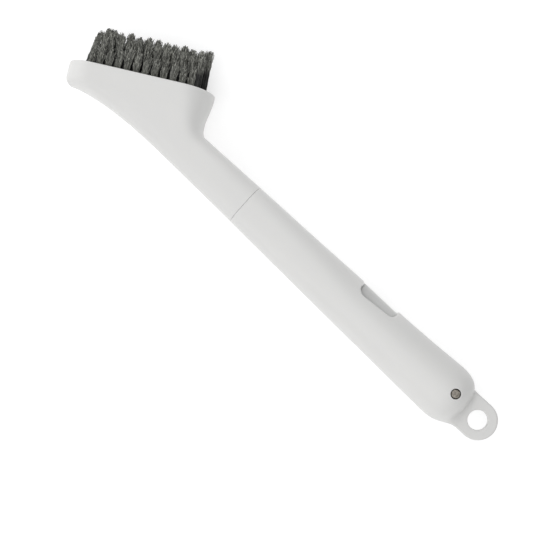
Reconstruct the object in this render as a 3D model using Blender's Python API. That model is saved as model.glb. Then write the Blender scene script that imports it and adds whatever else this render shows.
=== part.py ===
# Tank brush: an oval scrubbing head on a round handle, with a crevice brush that folds
# out of a slot in the handle about a steel pin.
#
# Construction coordinates are in millimetres: u from the toe of the head to the tail,
# v towards the bristle side, w across the handle with zero in its middle plane.
# The brush lies on its side, so w becomes height.

import math
import random

import bmesh
import bpy
from mathutils import Matrix, Vector

MM = 0.001

# Fits
CLEARANCE = 0.3

# Head face, the flat oval that carries the bristles
FACE_LENGTH = 60.9
FACE_HALF_WIDTH = 11.9
FACE_TILT = 28.65
TOE_U = 0.25
TOE_V = 7.6
RIM_EDGE_RADIUS = 0.9
RIM_WALL = 1.6
RECESS_DEPTH = 5.0
BAND_HEIGHT = 8.0
FLANK_DROP = 24.0

# Underside of the head and its toe corner
TOE_WALL = 6.2
TOE_CORNER_LENGTH = 3.2
TOE_CORNER_DROP = 3.55

# Neck, from the heel of the head to the seam
SEAM_U = 93.3
HEEL_BULGE = 0.8
HEEL_WALL = 6.5
NECK_TOP_V = 21.3
NECK_LOW_V = 4.8
NECK_HALF_DEPTH = 8.5
FILLET_LENGTH = 9.5

# Seam section
SEAM_TOP_V = 21.5
SEAM_LOW_V = 3.5
SEAM_HALF_DEPTH = 9.0

# Squareness of the sections: 2 is an ellipse, more is squarer with flatter sides
ROUND_POWER = 2.0
NECK_POWER = 3.2
POWER_SPAN = 0.62

# Spigot of the head piece and socket of the handle
SPIGOT_RADIUS = 6.2
SPIGOT_LENGTH = 20.0
BEAD_HEIGHT = 0.5
BEAD_LENGTH = 2.0
BEAD_SETBACK = 6.0
KEY_WIDTH = 2.0
KEY_HEIGHT = 1.0
KEY_LENGTH = 8.0
NECK_CORE_RADIUS = 3.6
NECK_CORE_LENGTH = 42.0
HANDLE_CORE_RADIUS = 4.2
HANDLE_CORE_LENGTH = 22.0

# Handle
HANDLE_LENGTH = 116.7
TAIL_TOP_V = 23.05
TAIL_LOW_V = -0.5
DOME_LENGTH = 12.0
DOME_POWER = 2.85
TOP_SWEEP = 2.6
LOW_SWEEP = 0.93

# Hanging tab
TAB_REACH = 15.0
TAB_HALF_WIDTH = 7.85
TAB_RISE = 0.15
TAB_THICKNESS = 3.0
TAB_HOLE_RADIUS = 3.95

# Pivot
PIN_SETBACK = 7.2
PIN_RISE = 1.75
PIN_RADIUS = 1.75
PIN_SUNK = 0.5
PIN_CHAMFER = 0.3

# Crevice arm and its slot
ARM_REACH = 53.85
ARM_THICKNESS = 6.0
ARM_BACK = 8.3
ARM_BODY_HEIGHT = 5.6
ARM_TIP_RADIUS = 1.4
ARM_EDGE_RADIUS = 1.3
LEDGE_REACH = 36.9
LEDGE_DROP = 0.75
LEDGE_RUN = 0.7
HUB_RADIUS = 5.4
SCOOP_HEIGHT = 3.0
SCOOP_START = 15.6
ARM_FOOT_REACH = 18.5
SLOT_END_GAP = 0.35
SLOT_FLOOR = 6.0
OPEN_ANGLE = 110.0

# Finger notch
NOTCH_REACH = 54.0
NOTCH_LENGTH = 17.7
NOTCH_DEPTH = 4.6
NOTCH_RISE = 0.9
NOTCH_HEAD_RADIUS = 3.4
NOTCH_TAIL_RADIUS = 2.6

# Bristles of the head
ROW_PITCH = 4.1
TUFT_PITCH = 3.82
FIELD_MARGIN = 5.3
FIELD_SHIFT = 0.6
TUFT_RADIUS = 0.85
TUFT_SPLAY = 1.4
STRAND_RADIUS = 0.4
STRANDS_PER_TUFT = 5
BRISTLE_RIDGE = 17.7
BRISTLE_CROWN = 0.135
TOE_LEAN = 13.0
TOE_LEAN_LENGTH = 9.0
HEEL_LEAN = 2.5
HEEL_LEAN_LENGTH = 20.0
TOE_TRIM_PLACE = 7.9
TOE_TRIM_HEIGHT = 11.8
TOE_TRIM_SLOPE = 2.0
SIDE_LEAN = 4.0
TRIM_SCATTER = 0.35
BED_RECESS = 1.0

# Crevice bristles
CREVICE_STRIP_WIDTH = 3.6
CREVICE_STRIP_HEIGHT = 2.2
CREVICE_PITCH = 3.4
CREVICE_TIP_MARGIN = 3.2
CREVICE_END_MARGIN = 1.6
CREVICE_ROOT_MARGIN = 19.5
CREVICE_ROW_OFFSET = 0.9
CREVICE_LENGTH = 7.4
CREVICE_STRAND_RADIUS = 0.3
CREVICE_TUFT_RADIUS = 0.42

# Fineness of the faceted surfaces
FACE_RINGS = 24
HEEL_RINGS = 9
NECK_RINGS = 4
SIDE_STEPS = 12
ROUND_SIDES = 28
HANDLE_RINGS = 10
DOME_RINGS = 8

# Places that follow from the sizes above
HANDLE_START = SEAM_U + CLEARANCE
HANDLE_END = SEAM_U + HANDLE_LENGTH
AXIS_V = (SEAM_TOP_V + SEAM_LOW_V) / 2
TAIL_AXIS_V = (TAIL_TOP_V + TAIL_LOW_V) / 2
PIN_U = HANDLE_END - PIN_SETBACK
PIN_V = TAIL_AXIS_V + PIN_RISE
OVERALL_LENGTH = HANDLE_END + TAB_REACH
TILT = math.radians(FACE_TILT)
FACE_ALONG = (math.cos(TILT), math.sin(TILT))
FACE_OUT = (-math.sin(TILT), math.cos(TILT))
FIELD_MIDDLE = FACE_LENGTH / 2 + FIELD_SHIFT
CENTRE_TUFTS = int((FACE_LENGTH - 2 * FIELD_MARGIN) / TUFT_PITCH) + 1
FIELD_END = FIELD_MIDDLE + (CENTRE_TUFTS - 1) / 2 * TUFT_PITCH
BRISTLE_TOP_V = TOE_V + FACE_ALONG[1] * FIELD_END + FACE_OUT[1] * BRISTLE_RIDGE
FIRST_U = TOE_U - FACE_OUT[0] * RIM_EDGE_RADIUS
MIDDLE_U = (FIRST_U + OVERALL_LENGTH) / 2
MIDDLE_V = (BRISTLE_TOP_V + TAIL_LOW_V) / 2
SLOT_HALF_WIDTH = ARM_THICKNESS / 2 + CLEARANCE
CREVICE_TUFTS = int((ARM_REACH - CREVICE_TIP_MARGIN - CREVICE_ROOT_MARGIN) / CREVICE_PITCH)


def place(u, v, w):
    """World position, in metres, of a point in construction coordinates."""
    return Vector(((u - MIDDLE_U) * MM, (v - MIDDLE_V) * MM, (w + FACE_HALF_WIDTH) * MM))


def from_face(along, out):
    """Point in u and v of a place given along the face and out of it."""
    u = TOE_U + FACE_ALONG[0] * along + FACE_OUT[0] * out
    v = TOE_V + FACE_ALONG[1] * along + FACE_OUT[1] * out
    return u, v


def to_face(u, v):
    """Place along the face and out of it of a point in u and v."""
    run = u - TOE_U
    rise = v - TOE_V
    along = FACE_ALONG[0] * run + FACE_ALONG[1] * rise
    out = FACE_OUT[0] * run + FACE_OUT[1] * rise
    return along, out


def bezier(points, t):
    """Point at t on the curve with four control points."""
    s = 1 - t
    weights = (s ** 3, 3 * s * s * t, 3 * s * t * t, t ** 3)
    return tuple(sum(k * p[axis] for k, p in zip(weights, points)) for axis in range(2))


def edge_inset(depth):
    """How far the rounded rim edge stands back at a depth under the face."""
    if depth >= RIM_EDGE_RADIUS:
        return 0.0
    rest = RIM_EDGE_RADIUS - depth
    return RIM_EDGE_RADIUS - math.sqrt(max(RIM_EDGE_RADIUS ** 2 - rest ** 2, 0.0))


def edge_depth(distance):
    """How far the rounded rim edge lies under the face at a distance from the outline."""
    return edge_inset(distance)


# Side outline of the head piece: the underside from the toe corner to the seam, and
# the heel from the rim down to the neck.

UNDERSIDE = [
    from_face(TOE_CORNER_LENGTH, -TOE_WALL - TOE_CORNER_DROP),
    (15.0, 3.5),
    (30.0, 5.7),
    (from_face(FACE_LENGTH, 0)[0] + 1.0, NECK_LOW_V - 0.05),
]
HEEL_END = (from_face(FACE_LENGTH, 0)[0] + FILLET_LENGTH, NECK_TOP_V)
NECK_FOOT = (HEEL_END[0] + 1.0, NECK_LOW_V - 0.3)
HEEL = [
    from_face(FACE_LENGTH, -RIM_EDGE_RADIUS),
    from_face(FACE_LENGTH + HEEL_BULGE, -HEEL_WALL),
    (HEEL_END[0] - 6.3, NECK_TOP_V - 0.1),
    HEEL_END,
]


def underside_point(along):
    """Lowest point of the side outline for the ring whose top lies at this place."""
    corner = TOE_CORNER_LENGTH + RIM_EDGE_RADIUS
    if along < corner:
        turn = along / corner * math.pi / 2
        out = -TOE_WALL - TOE_CORNER_DROP * math.sin(turn)
        return from_face(TOE_CORNER_LENGTH * (1 - math.cos(turn)), out)
    return bezier(UNDERSIDE, (along - corner) / (FACE_LENGTH - corner))


def head_outline():
    """Pairs of a top and a low point that the rings of the head piece run between."""
    pairs = []
    for step in range(FACE_RINGS + 1):
        along = FACE_LENGTH * (1 - math.cos(math.pi * step / FACE_RINGS)) / 2
        drop = edge_depth(min(along, FACE_LENGTH - along))
        pairs.append((from_face(along, -drop), underside_point(along)))
    low_start = UNDERSIDE[-1]
    for step in range(1, HEEL_RINGS + 1):
        t = step / HEEL_RINGS
        low = tuple(a + (b - a) * t for a, b in zip(low_start, NECK_FOOT))
        pairs.append((bezier(HEEL, t), low))
    for step in range(1, NECK_RINGS + 1):
        t = step / NECK_RINGS
        top = (HEEL_END[0] + (SEAM_U - HEEL_END[0]) * t, NECK_TOP_V + (SEAM_TOP_V - NECK_TOP_V) * t)
        low = (NECK_FOOT[0] + (SEAM_U - NECK_FOOT[0]) * t, NECK_FOOT[1] + (SEAM_LOW_V - NECK_FOOT[1]) * t)
        pairs.append((top, low))
    return pairs


def ease(x):
    """Smooth change from 0 to 1."""
    x = min(max(x, 0.0), 1.0)
    return x * x * (3 - 2 * x)


def rounding(share, power):
    """Part of the width that is left at a share of the way in from a rounded edge."""
    if share >= 1:
        return 1.0
    return (1 - (1 - max(share, 0.0)) ** power) ** (1 / power)


# Edge lines of the side outline, each a list of u, v, how far the rounding reaches in
# from there, and how square it is.

FINE = 40
NECK_START = (HEEL_END[1] - UNDERSIDE[-1][1]) / 2
SEAM_HALF_HEIGHT = (SEAM_TOP_V - SEAM_LOW_V) / 2


def roof_line():
    """Edge line down the heel and along the top of the neck."""
    line = [(*from_face(FACE_LENGTH, FACE_HALF_WIDTH), FACE_HALF_WIDTH, ROUND_POWER)]
    for step in range(FINE + 1):
        turn = ease(step / FINE)
        reach = FACE_HALF_WIDTH + (NECK_START - FACE_HALF_WIDTH) * turn
        line.append((*bezier(HEEL, step / FINE), reach, ROUND_POWER + (NECK_POWER - ROUND_POWER) * turn))
    line.append((SEAM_U, SEAM_TOP_V, SEAM_HALF_HEIGHT, NECK_POWER))
    return line


def keel_line():
    """Edge line along the underside, from the toe corner to the seam."""
    line = []
    corner = TOE_CORNER_LENGTH + RIM_EDGE_RADIUS
    for step in range(FINE + 1):
        low = underside_point(corner + (FACE_LENGTH - corner) * step / FINE)
        floor = -to_face(*low)[1]
        reach = min(max(floor - BAND_HEIGHT, floor / 4), NECK_START)
        line.append((*low, reach, ROUND_POWER + (NECK_POWER - ROUND_POWER) * ease(reach / NECK_START)))
    line.append((*NECK_FOOT, NECK_START, NECK_POWER))
    line.append((SEAM_U, SEAM_LOW_V, SEAM_HALF_HEIGHT, NECK_POWER))
    return line


ROOF = roof_line()
KEEL = keel_line()


def nearest_edge(line, u, v):
    """Distance to the nearest place on an edge line, and the reach and power there."""
    best = (math.inf, 1.0, ROUND_POWER)
    for (u0, v0, reach0, power0), (u1, v1, reach1, power1) in zip(line, line[1:]):
        run = u1 - u0
        rise = v1 - v0
        t = ((u - u0) * run + (v - v0) * rise) / (run * run + rise * rise)
        t = min(max(t, 0.0), 1.0)
        gap = math.hypot(u - u0 - run * t, v - v0 - rise * t)
        if gap < best[0]:
            best = (gap, reach0 + (reach1 - reach0) * t, power0 + (power1 - power0) * t)
    return best


def toe_setback(depth):
    """How far the toe outline stands back at a depth under the face."""
    if depth < TOE_WALL:
        return edge_inset(depth)
    share = min((depth - TOE_WALL) / TOE_CORNER_DROP, 1.0)
    return TOE_CORNER_LENGTH * (1 - math.sqrt(1 - share ** 2))


def head_half_width(u, v):
    """Half width of the head piece at a point of its side view."""
    along, out = to_face(u, v)
    inset = edge_inset(-out)
    run = min(max((u - HEEL_END[0]) / (SEAM_U - HEEL_END[0]), 0.0), 1.0)
    neck = NECK_HALF_DEPTH + (SEAM_HALF_DEPTH - NECK_HALF_DEPTH) * run
    narrow = (neck - FACE_HALF_WIDTH) * ease((-out - BAND_HEIGHT) / FLANK_DROP)
    end_radius = FACE_HALF_WIDTH - inset
    toe = rounding((along - toe_setback(-out)) / end_radius, ROUND_POWER)
    gap, reach, power = nearest_edge(ROOF, u, v)
    roof = rounding((gap - inset) / (reach - inset), power)
    gap, reach, power = nearest_edge(KEEL, u, v)
    return (end_radius + narrow) * toe * roof * rounding(gap / reach, power)


def ring_side(top, low):
    """Points from low to top on one side of a ring of the head piece, as u, v and w."""
    points = [(*low, 0.0)]
    for step in range(1, SIDE_STEPS + 1):
        share = (1 - math.cos(math.pi * step / SIDE_STEPS)) / 2
        u = low[0] + (top[0] - low[0]) * share
        v = low[1] + (top[1] - low[1]) * share
        points.append((u, v, head_half_width(u, v)))
    if to_face(*top)[1] < 1e-6 - RIM_EDGE_RADIUS:
        points[-1] = (*top, 0.0)
    return points


def remove_all():
    """Empty the scene."""
    for item in list(bpy.data.objects):
        bpy.data.objects.remove(item, do_unlink=True)


def finish_mesh(bm, name, smooth_angle=35):
    """Turn a bmesh in world metres into a smooth-shaded object."""
    bmesh.ops.recalc_face_normals(bm, faces=bm.faces)
    mesh = bpy.data.meshes.new(name)
    bm.to_mesh(mesh)
    bm.free()
    item = bpy.data.objects.new(name, mesh)
    bpy.context.scene.collection.objects.link(item)
    mesh.shade_smooth()
    mesh.set_sharp_from_angle(angle=math.radians(smooth_angle))
    return item


def combine(target, tool, operation):
    """Cut a tool from the target, or join it on, and delete the tool."""
    modifier = target.modifiers.new(operation, "BOOLEAN")
    modifier.operation = operation
    modifier.object = tool
    modifier.solver = "EXACT"
    depsgraph = bpy.context.evaluated_depsgraph_get()
    result = bpy.data.meshes.new_from_object(target.evaluated_get(depsgraph))
    target.modifiers.clear()
    old = target.data
    name = old.name
    target.data = result
    bpy.data.meshes.remove(old)
    result.name = name
    tool_mesh = tool.data
    bpy.data.objects.remove(tool, do_unlink=True)
    bpy.data.meshes.remove(tool_mesh)
    result.shade_smooth()
    result.set_sharp_from_angle(angle=math.radians(35))


def loft(name, rings):
    """Closed solid through rings of equally many points, capped at both ends."""
    bm = bmesh.new()
    rows = [[bm.verts.new(place(*point)) for point in ring] for ring in rings]
    for row, following in zip(rows, rows[1:]):
        for k in range(len(row)):
            after = (k + 1) % len(row)
            bm.faces.new((row[k], row[after], following[after], following[k]))
    bm.faces.new(rows[0])
    bm.faces.new(rows[-1])
    return finish_mesh(bm, name)


def prism(name, outline, low_w, high_w):
    """Solid with an outline in u and v, standing between two values of w."""
    bm = bmesh.new()
    low = [bm.verts.new(place(u, v, low_w)) for u, v in outline]
    high = [bm.verts.new(place(u, v, high_w)) for u, v in outline]
    bm.faces.new(low)
    bm.faces.new(high)
    for k in range(len(low)):
        after = (k + 1) % len(low)
        bm.faces.new((low[k], low[after], high[after], high[k]))
    return finish_mesh(bm, name)


def arc(centre, radius, start, end, steps):
    """Points on an arc in u and v, with angles in degrees."""
    points = []
    for step in range(steps + 1):
        angle = math.radians(start + (end - start) * step / steps)
        points.append((centre[0] + radius * math.cos(angle), centre[1] + radius * math.sin(angle)))
    return points


def round_bar(name, centre_v, profile, sides=ROUND_SIDES):
    """Turned solid about a line along u, from pairs of a place and a radius."""
    rings = []
    for u, radius in profile:
        ring = []
        for side in range(sides):
            angle = 2 * math.pi * (side + 0.5) / sides
            ring.append((u, centre_v + radius * math.cos(angle), radius * math.sin(angle)))
        rings.append(ring)
    return loft(name, rings)


def cross_bar(name, u, v, profile, sides=ROUND_SIDES):
    """Turned solid about a line along w, from pairs of a height and a radius."""
    rings = []
    for w, radius in profile:
        ring = []
        for side in range(sides):
            angle = 2 * math.pi * (side + 0.5) / sides
            ring.append((u + radius * math.cos(angle), v + radius * math.sin(angle), w))
        rings.append(ring)
    return loft(name, rings)


def material(name, colour, roughness, metallic=0.0):
    """Plain surface of one colour."""
    surface = bpy.data.materials.new(name)
    surface.use_nodes = True
    shader = surface.node_tree.nodes["Principled BSDF"]
    shader.inputs["Base Color"].default_value = (*colour, 1.0)
    shader.inputs["Roughness"].default_value = roughness
    shader.inputs["Metallic"].default_value = metallic
    return surface


def give(item, surface):
    """Put a material on an object."""
    item.data.materials.clear()
    item.data.materials.append(surface)


def oval(inset, low_w=-math.inf, high_w=math.inf, steps=10):
    """Outline, along the face and across it, of the oval drawn in by an inset."""
    radius = FACE_HALF_WIDTH - inset
    low_w = max(low_w, -radius)
    high_w = min(high_w, radius)
    turn_low = math.asin(low_w / radius)
    turn_high = math.asin(high_w / radius)
    heel_centre = FACE_LENGTH - FACE_HALF_WIDTH
    points = []
    for step in range(steps + 1):
        turn = turn_low + (turn_high - turn_low) * step / steps
        points.append((heel_centre + radius * math.cos(turn), radius * math.sin(turn)))
    for step in range(steps + 1):
        turn = turn_high + (turn_low - turn_high) * step / steps
        points.append((FACE_HALF_WIDTH - radius * math.cos(turn), radius * math.sin(turn)))
    return points


def face_plate(name, outline, low_out, high_out):
    """Solid over an outline on the face, between two distances out of it."""
    rings = []
    for out in (low_out, high_out):
        rings.append([(*from_face(along, out), w) for along, w in outline])
    return loft(name, rings)


def make_head_shell(white):
    """Head and neck with the bristle recess, the spigot, its bead and its key."""
    bm = bmesh.new()
    rows = []
    for top, low in head_outline():
        side = ring_side(top, low)
        near = [bm.verts.new(place(u, v, w)) for u, v, w in side]
        far = [bm.verts.new(place(u, v, -w)) for u, v, w in side]
        rows.append(near + far[::-1])
    for row, following in zip(rows, rows[1:]):
        for k in range(len(row)):
            after = (k + 1) % len(row)
            bm.faces.new((row[k], row[after], following[after], following[k]))
    bm.faces.new(rows[-1])
    bmesh.ops.remove_doubles(bm, verts=bm.verts, dist=0.00001)
    bmesh.ops.dissolve_degenerate(bm, edges=bm.edges, dist=0.00001)
    shell = finish_mesh(bm, "head_shell")

    spigot_end = SEAM_U + SPIGOT_LENGTH
    bead = spigot_end - BEAD_SETBACK
    spigot = round_bar("spigot", AXIS_V, [
        (SEAM_U - 4.0, SPIGOT_RADIUS),
        (bead - BEAD_LENGTH / 2, SPIGOT_RADIUS),
        (bead, SPIGOT_RADIUS + BEAD_HEIGHT),
        (bead + BEAD_LENGTH / 2, SPIGOT_RADIUS),
        (spigot_end - 1.0, SPIGOT_RADIUS),
        (spigot_end, SPIGOT_RADIUS - 0.8),
    ])
    combine(shell, spigot, "UNION")
    key_low = AXIS_V - SPIGOT_RADIUS - KEY_HEIGHT
    key = prism("key", [
        (SEAM_U - 1.0, key_low),
        (SEAM_U + KEY_LENGTH, key_low),
        (SEAM_U + KEY_LENGTH, AXIS_V - SPIGOT_RADIUS / 2 - NECK_CORE_RADIUS / 2),
        (SEAM_U - 1.0, AXIS_V - SPIGOT_RADIUS / 2 - NECK_CORE_RADIUS / 2),
    ], -KEY_WIDTH / 2, KEY_WIDTH / 2)
    combine(shell, key, "UNION")
    core = round_bar("core", AXIS_V, [
        (spigot_end - NECK_CORE_LENGTH, NECK_CORE_RADIUS * 0.6),
        (spigot_end - NECK_CORE_LENGTH + 3.0, NECK_CORE_RADIUS),
        (spigot_end + 1.0, NECK_CORE_RADIUS),
    ], sides=16)
    combine(shell, core, "DIFFERENCE")
    recess = face_plate("recess", oval(RIM_WALL), -RECESS_DEPTH, 4.0)
    combine(shell, recess, "DIFFERENCE")
    give(shell, white)
    return shell


def handle_section(u):
    """Centre height, half height and half depth of the handle at a station."""
    widest = HANDLE_END - DOME_LENGTH
    share = min((u - SEAM_U) / (widest - SEAM_U), 1.0)
    top = SEAM_TOP_V + (TAIL_TOP_V - SEAM_TOP_V) * share ** TOP_SWEEP
    low = SEAM_LOW_V + (TAIL_LOW_V - SEAM_LOW_V) * share ** LOW_SWEEP
    depth = SEAM_HALF_DEPTH + (FACE_HALF_WIDTH - SEAM_HALF_DEPTH) * share
    scale = 1.0
    if u > widest:
        scale = max(1 - ((u - widest) / DOME_LENGTH) ** DOME_POWER, 0.0) ** (1 / DOME_POWER)
    return (top + low) / 2, (top - low) / 2 * scale, depth * scale


def section_power(u):
    """How square the section of the handle is at a station."""
    share = (u - SEAM_U) / (HANDLE_END - DOME_LENGTH - SEAM_U)
    return NECK_POWER + (ROUND_POWER - NECK_POWER) * ease(share / POWER_SPAN)


def handle_ring(u):
    """Points of the handle's section at a station."""
    centre, height, depth = handle_section(u)
    squared = 2 / section_power(u)
    ring = []
    for side in range(ROUND_SIDES):
        angle = 2 * math.pi * side / ROUND_SIDES
        rise = math.copysign(abs(math.cos(angle)) ** squared, math.cos(angle))
        across = math.copysign(abs(math.sin(angle)) ** squared, math.sin(angle))
        ring.append((u, centre + height * rise, depth * across))
    return ring


def notch_outline():
    """Finger notch in u and v: a steep round end at the head side, then a rising floor."""
    start = PIN_U - NOTCH_REACH
    end = start + NOTCH_LENGTH
    mouth = PIN_V + ARM_BACK + 0.3
    floor = mouth - NOTCH_DEPTH
    above = TAIL_TOP_V + 3.0
    points = [(end, above), (start, above)]
    points += arc((start + NOTCH_HEAD_RADIUS, floor + NOTCH_HEAD_RADIUS), NOTCH_HEAD_RADIUS, 180, 270, 6)
    tail_centre = (end - NOTCH_TAIL_RADIUS, floor + NOTCH_RISE + NOTCH_TAIL_RADIUS)
    points += arc(tail_centre, NOTCH_TAIL_RADIUS, 275, 360, 5)
    return points


def slot_outline():
    """Slot of the crevice arm in u and v, with a stop face for the opened arm."""
    start = PIN_U - ARM_REACH - SLOT_END_GAP
    radius = HUB_RADIUS + CLEARANCE
    floor = PIN_V - SLOT_FLOOR
    rise = TAIL_TOP_V + 3.0 - PIN_V
    turn = math.radians(OPEN_ANGLE)
    offset = SCOOP_HEIGHT + CLEARANCE
    meet = 90 - OPEN_ANGLE + math.degrees(math.acos(offset / radius))
    run = (rise - offset * math.cos(turn)) / math.sin(turn)
    stop_end = (PIN_U + offset * math.sin(turn) - run * math.cos(turn), PIN_V + rise)
    points = [(start, floor)]
    points += arc((PIN_U, PIN_V), radius, -90, meet, 10)
    points += [stop_end, (start, PIN_V + rise)]
    return points


def make_handle_body(white):
    """Handle with its tab, slot, notches, pin hole and socket."""
    widest = HANDLE_END - DOME_LENGTH
    stations = [HANDLE_START + (widest - HANDLE_START) * k / HANDLE_RINGS for k in range(HANDLE_RINGS + 1)]
    for step in range(1, DOME_RINGS + 1):
        stations.append(widest + DOME_LENGTH * math.sin(math.pi / 2 * step / (DOME_RINGS + 0.6)))
    body = loft("handle_body", [handle_ring(u) for u in stations])

    tab_v = TAIL_AXIS_V + TAB_RISE
    tab_centre = (OVERALL_LENGTH - TAB_HALF_WIDTH, tab_v)
    outline = arc(tab_centre, TAB_HALF_WIDTH, -90, 90, 14)
    outline += [(PIN_U, tab_v + TAB_HALF_WIDTH), (PIN_U, tab_v - TAB_HALF_WIDTH)]
    tab = prism("tab", outline, -TAB_THICKNESS / 2, TAB_THICKNESS / 2)
    combine(body, tab, "UNION")
    hole = cross_bar("hole", *tab_centre, [(-TAB_THICKNESS, TAB_HOLE_RADIUS), (TAB_THICKNESS, TAB_HOLE_RADIUS)])
    combine(body, hole, "DIFFERENCE")

    slot = prism("slot", slot_outline(), -SLOT_HALF_WIDTH, SLOT_HALF_WIDTH)
    combine(body, slot, "DIFFERENCE")
    notch = prism("notch", notch_outline(), -FACE_HALF_WIDTH - 2.0, FACE_HALF_WIDTH + 2.0)
    combine(body, notch, "DIFFERENCE")
    reach = FACE_HALF_WIDTH + 2.0
    bore = cross_bar("bore", PIN_U, PIN_V, [(-reach, PIN_RADIUS + CLEARANCE), (reach, PIN_RADIUS + CLEARANCE)])
    combine(body, bore, "DIFFERENCE")

    socket_radius = SPIGOT_RADIUS + CLEARANCE
    spigot_end = SEAM_U + SPIGOT_LENGTH
    bead = spigot_end - BEAD_SETBACK
    core_end = spigot_end + HANDLE_CORE_LENGTH
    socket = round_bar("socket", AXIS_V, [
        (SEAM_U - 1.0, socket_radius),
        (bead - BEAD_LENGTH / 2 - CLEARANCE, socket_radius),
        (bead, socket_radius + BEAD_HEIGHT),
        (bead + BEAD_LENGTH / 2 + CLEARANCE, socket_radius),
        (spigot_end + CLEARANCE, socket_radius),
        (spigot_end + CLEARANCE + 1.5, HANDLE_CORE_RADIUS),
        (core_end - 2.5, HANDLE_CORE_RADIUS * 0.8),
        (core_end, HANDLE_CORE_RADIUS * 0.4),
    ])
    combine(body, socket, "DIFFERENCE")
    key_low = AXIS_V - SPIGOT_RADIUS - KEY_HEIGHT - CLEARANCE
    half = KEY_WIDTH / 2 + CLEARANCE
    keyway = prism("keyway", [
        (SEAM_U - 1.0, key_low),
        (SEAM_U + KEY_LENGTH + CLEARANCE, key_low),
        (SEAM_U + KEY_LENGTH + CLEARANCE, AXIS_V),
        (SEAM_U - 1.0, AXIS_V),
    ], -half, half)
    combine(body, keyway, "DIFFERENCE")
    give(body, white)
    return body


def make_pivot_pin(steel):
    """Steel pin through the cheeks and the hub, its ends sunk a little."""
    centre, height, depth = handle_section(PIN_U)
    surface = depth * rounding(1 - abs(PIN_V - centre) / height, section_power(PIN_U))
    end = surface - PIN_SUNK
    pin = cross_bar("pivot_pin", PIN_U, PIN_V, [
        (-end, PIN_RADIUS - PIN_CHAMFER),
        (-end + PIN_CHAMFER, PIN_RADIUS),
        (end - PIN_CHAMFER, PIN_RADIUS),
        (end, PIN_RADIUS - PIN_CHAMFER),
    ], sides=24)
    give(pin, steel)
    return pin


def arm_back(u):
    """Height of the folded arm's back: level with the handle, but for the dip that ends in the finger ledge."""
    centre, height, depth = handle_section(u)
    start = PIN_U - ARM_REACH
    ledge = PIN_U - LEDGE_REACH
    dip = (u - start) / (ledge - start) if u <= ledge else max(1 - (u - ledge) / LEDGE_RUN, 0.0)
    return centre + height - LEDGE_DROP * dip


def arm_outline():
    """Side outline of the folded crevice arm, in u and v."""
    tip_u = PIN_U - ARM_REACH
    foot_v = PIN_V + ARM_BACK - ARM_BODY_HEIGHT
    radius = ARM_TIP_RADIUS
    ledge_u = PIN_U - LEDGE_REACH
    scoop_u = PIN_U - SCOOP_START
    hub_meet = math.degrees(math.asin(SCOOP_HEIGHT / HUB_RADIUS))
    points = arc((tip_u + radius, foot_v + radius), radius, 270, 180, 3)
    points += [(u, arm_back(u)) for u in (tip_u, ledge_u, ledge_u + LEDGE_RUN, (ledge_u + LEDGE_RUN + scoop_u) / 2)]
    drop = arm_back(scoop_u) - PIN_V - SCOOP_HEIGHT
    points += arc((scoop_u + drop, arm_back(scoop_u)), drop, 180, 270, 7)
    points += arc((PIN_U, PIN_V), HUB_RADIUS, 180 - hub_meet, -100, 18)
    points += [(PIN_U - ARM_FOOT_REACH, foot_v)]
    return points


def round_arm_back(arm):
    """Round the long edges of the arm's back and tip."""
    bm = bmesh.new()
    bm.from_mesh(arm.data)
    side = {round(place(0, 0, w)[2], 6) for w in (-ARM_THICKNESS / 2, ARM_THICKNESS / 2)}
    lowest = place(0, PIN_V + ARM_BACK - ARM_BODY_HEIGHT + ARM_TIP_RADIUS, 0)[1] - 1e-6
    last = place(PIN_U - SCOOP_START, 0, 0)[0] + 1e-6
    edges = [
        edge for edge in bm.edges
        if all(v.co.y > lowest and v.co.x < last and round(v.co.z, 6) in side for v in edge.verts)
        and abs(edge.verts[0].co.z - edge.verts[1].co.z) < 1e-6
    ]
    bmesh.ops.bevel(bm, geom=edges, offset=ARM_EDGE_RADIUS * MM, segments=3, affect="EDGES", profile=0.5)
    bm.to_mesh(arm.data)
    bm.free()
    arm.data.shade_smooth()
    arm.data.set_sharp_from_angle(angle=math.radians(35))


def make_crevice_arm(white, pivot):
    """Plastic arm with its hub and the groove for the bristle strip."""
    half = ARM_THICKNESS / 2
    arm = prism("crevice_arm", arm_outline(), -half, half)
    round_arm_back(arm)
    reach = half + 2.0
    bore = cross_bar("bore", PIN_U, PIN_V, [(-reach, PIN_RADIUS + CLEARANCE), (reach, PIN_RADIUS + CLEARANCE)])
    combine(arm, bore, "DIFFERENCE")
    start, end, foot, roof = crevice_strip_box()
    groove = prism("groove", [
        (start - CLEARANCE, foot - 1.0),
        (end + CLEARANCE, foot - 1.0),
        (end + CLEARANCE, roof + CLEARANCE),
        (start - CLEARANCE, roof + CLEARANCE),
    ], -CREVICE_STRIP_WIDTH / 2 - CLEARANCE, CREVICE_STRIP_WIDTH / 2 + CLEARANCE)
    combine(arm, groove, "DIFFERENCE")
    give(arm, white)
    hang_on(arm, pivot)
    return arm


def crevice_strip_box():
    """Start, end, foot and roof of the crevice strip, in u and v."""
    start = PIN_U - ARM_REACH + CREVICE_TIP_MARGIN - CREVICE_END_MARGIN
    end = start + (CREVICE_TUFTS - 0.5) * CREVICE_PITCH + 2 * CREVICE_END_MARGIN
    foot = PIN_V + ARM_BACK - ARM_BODY_HEIGHT
    return start, end, foot, foot + CREVICE_STRIP_HEIGHT


def hang_on(item, pivot):
    """Move an object's origin to the pivot and make it a child there."""
    item.data.transform(Matrix.Translation(-pivot.location))
    item.parent = pivot


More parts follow.
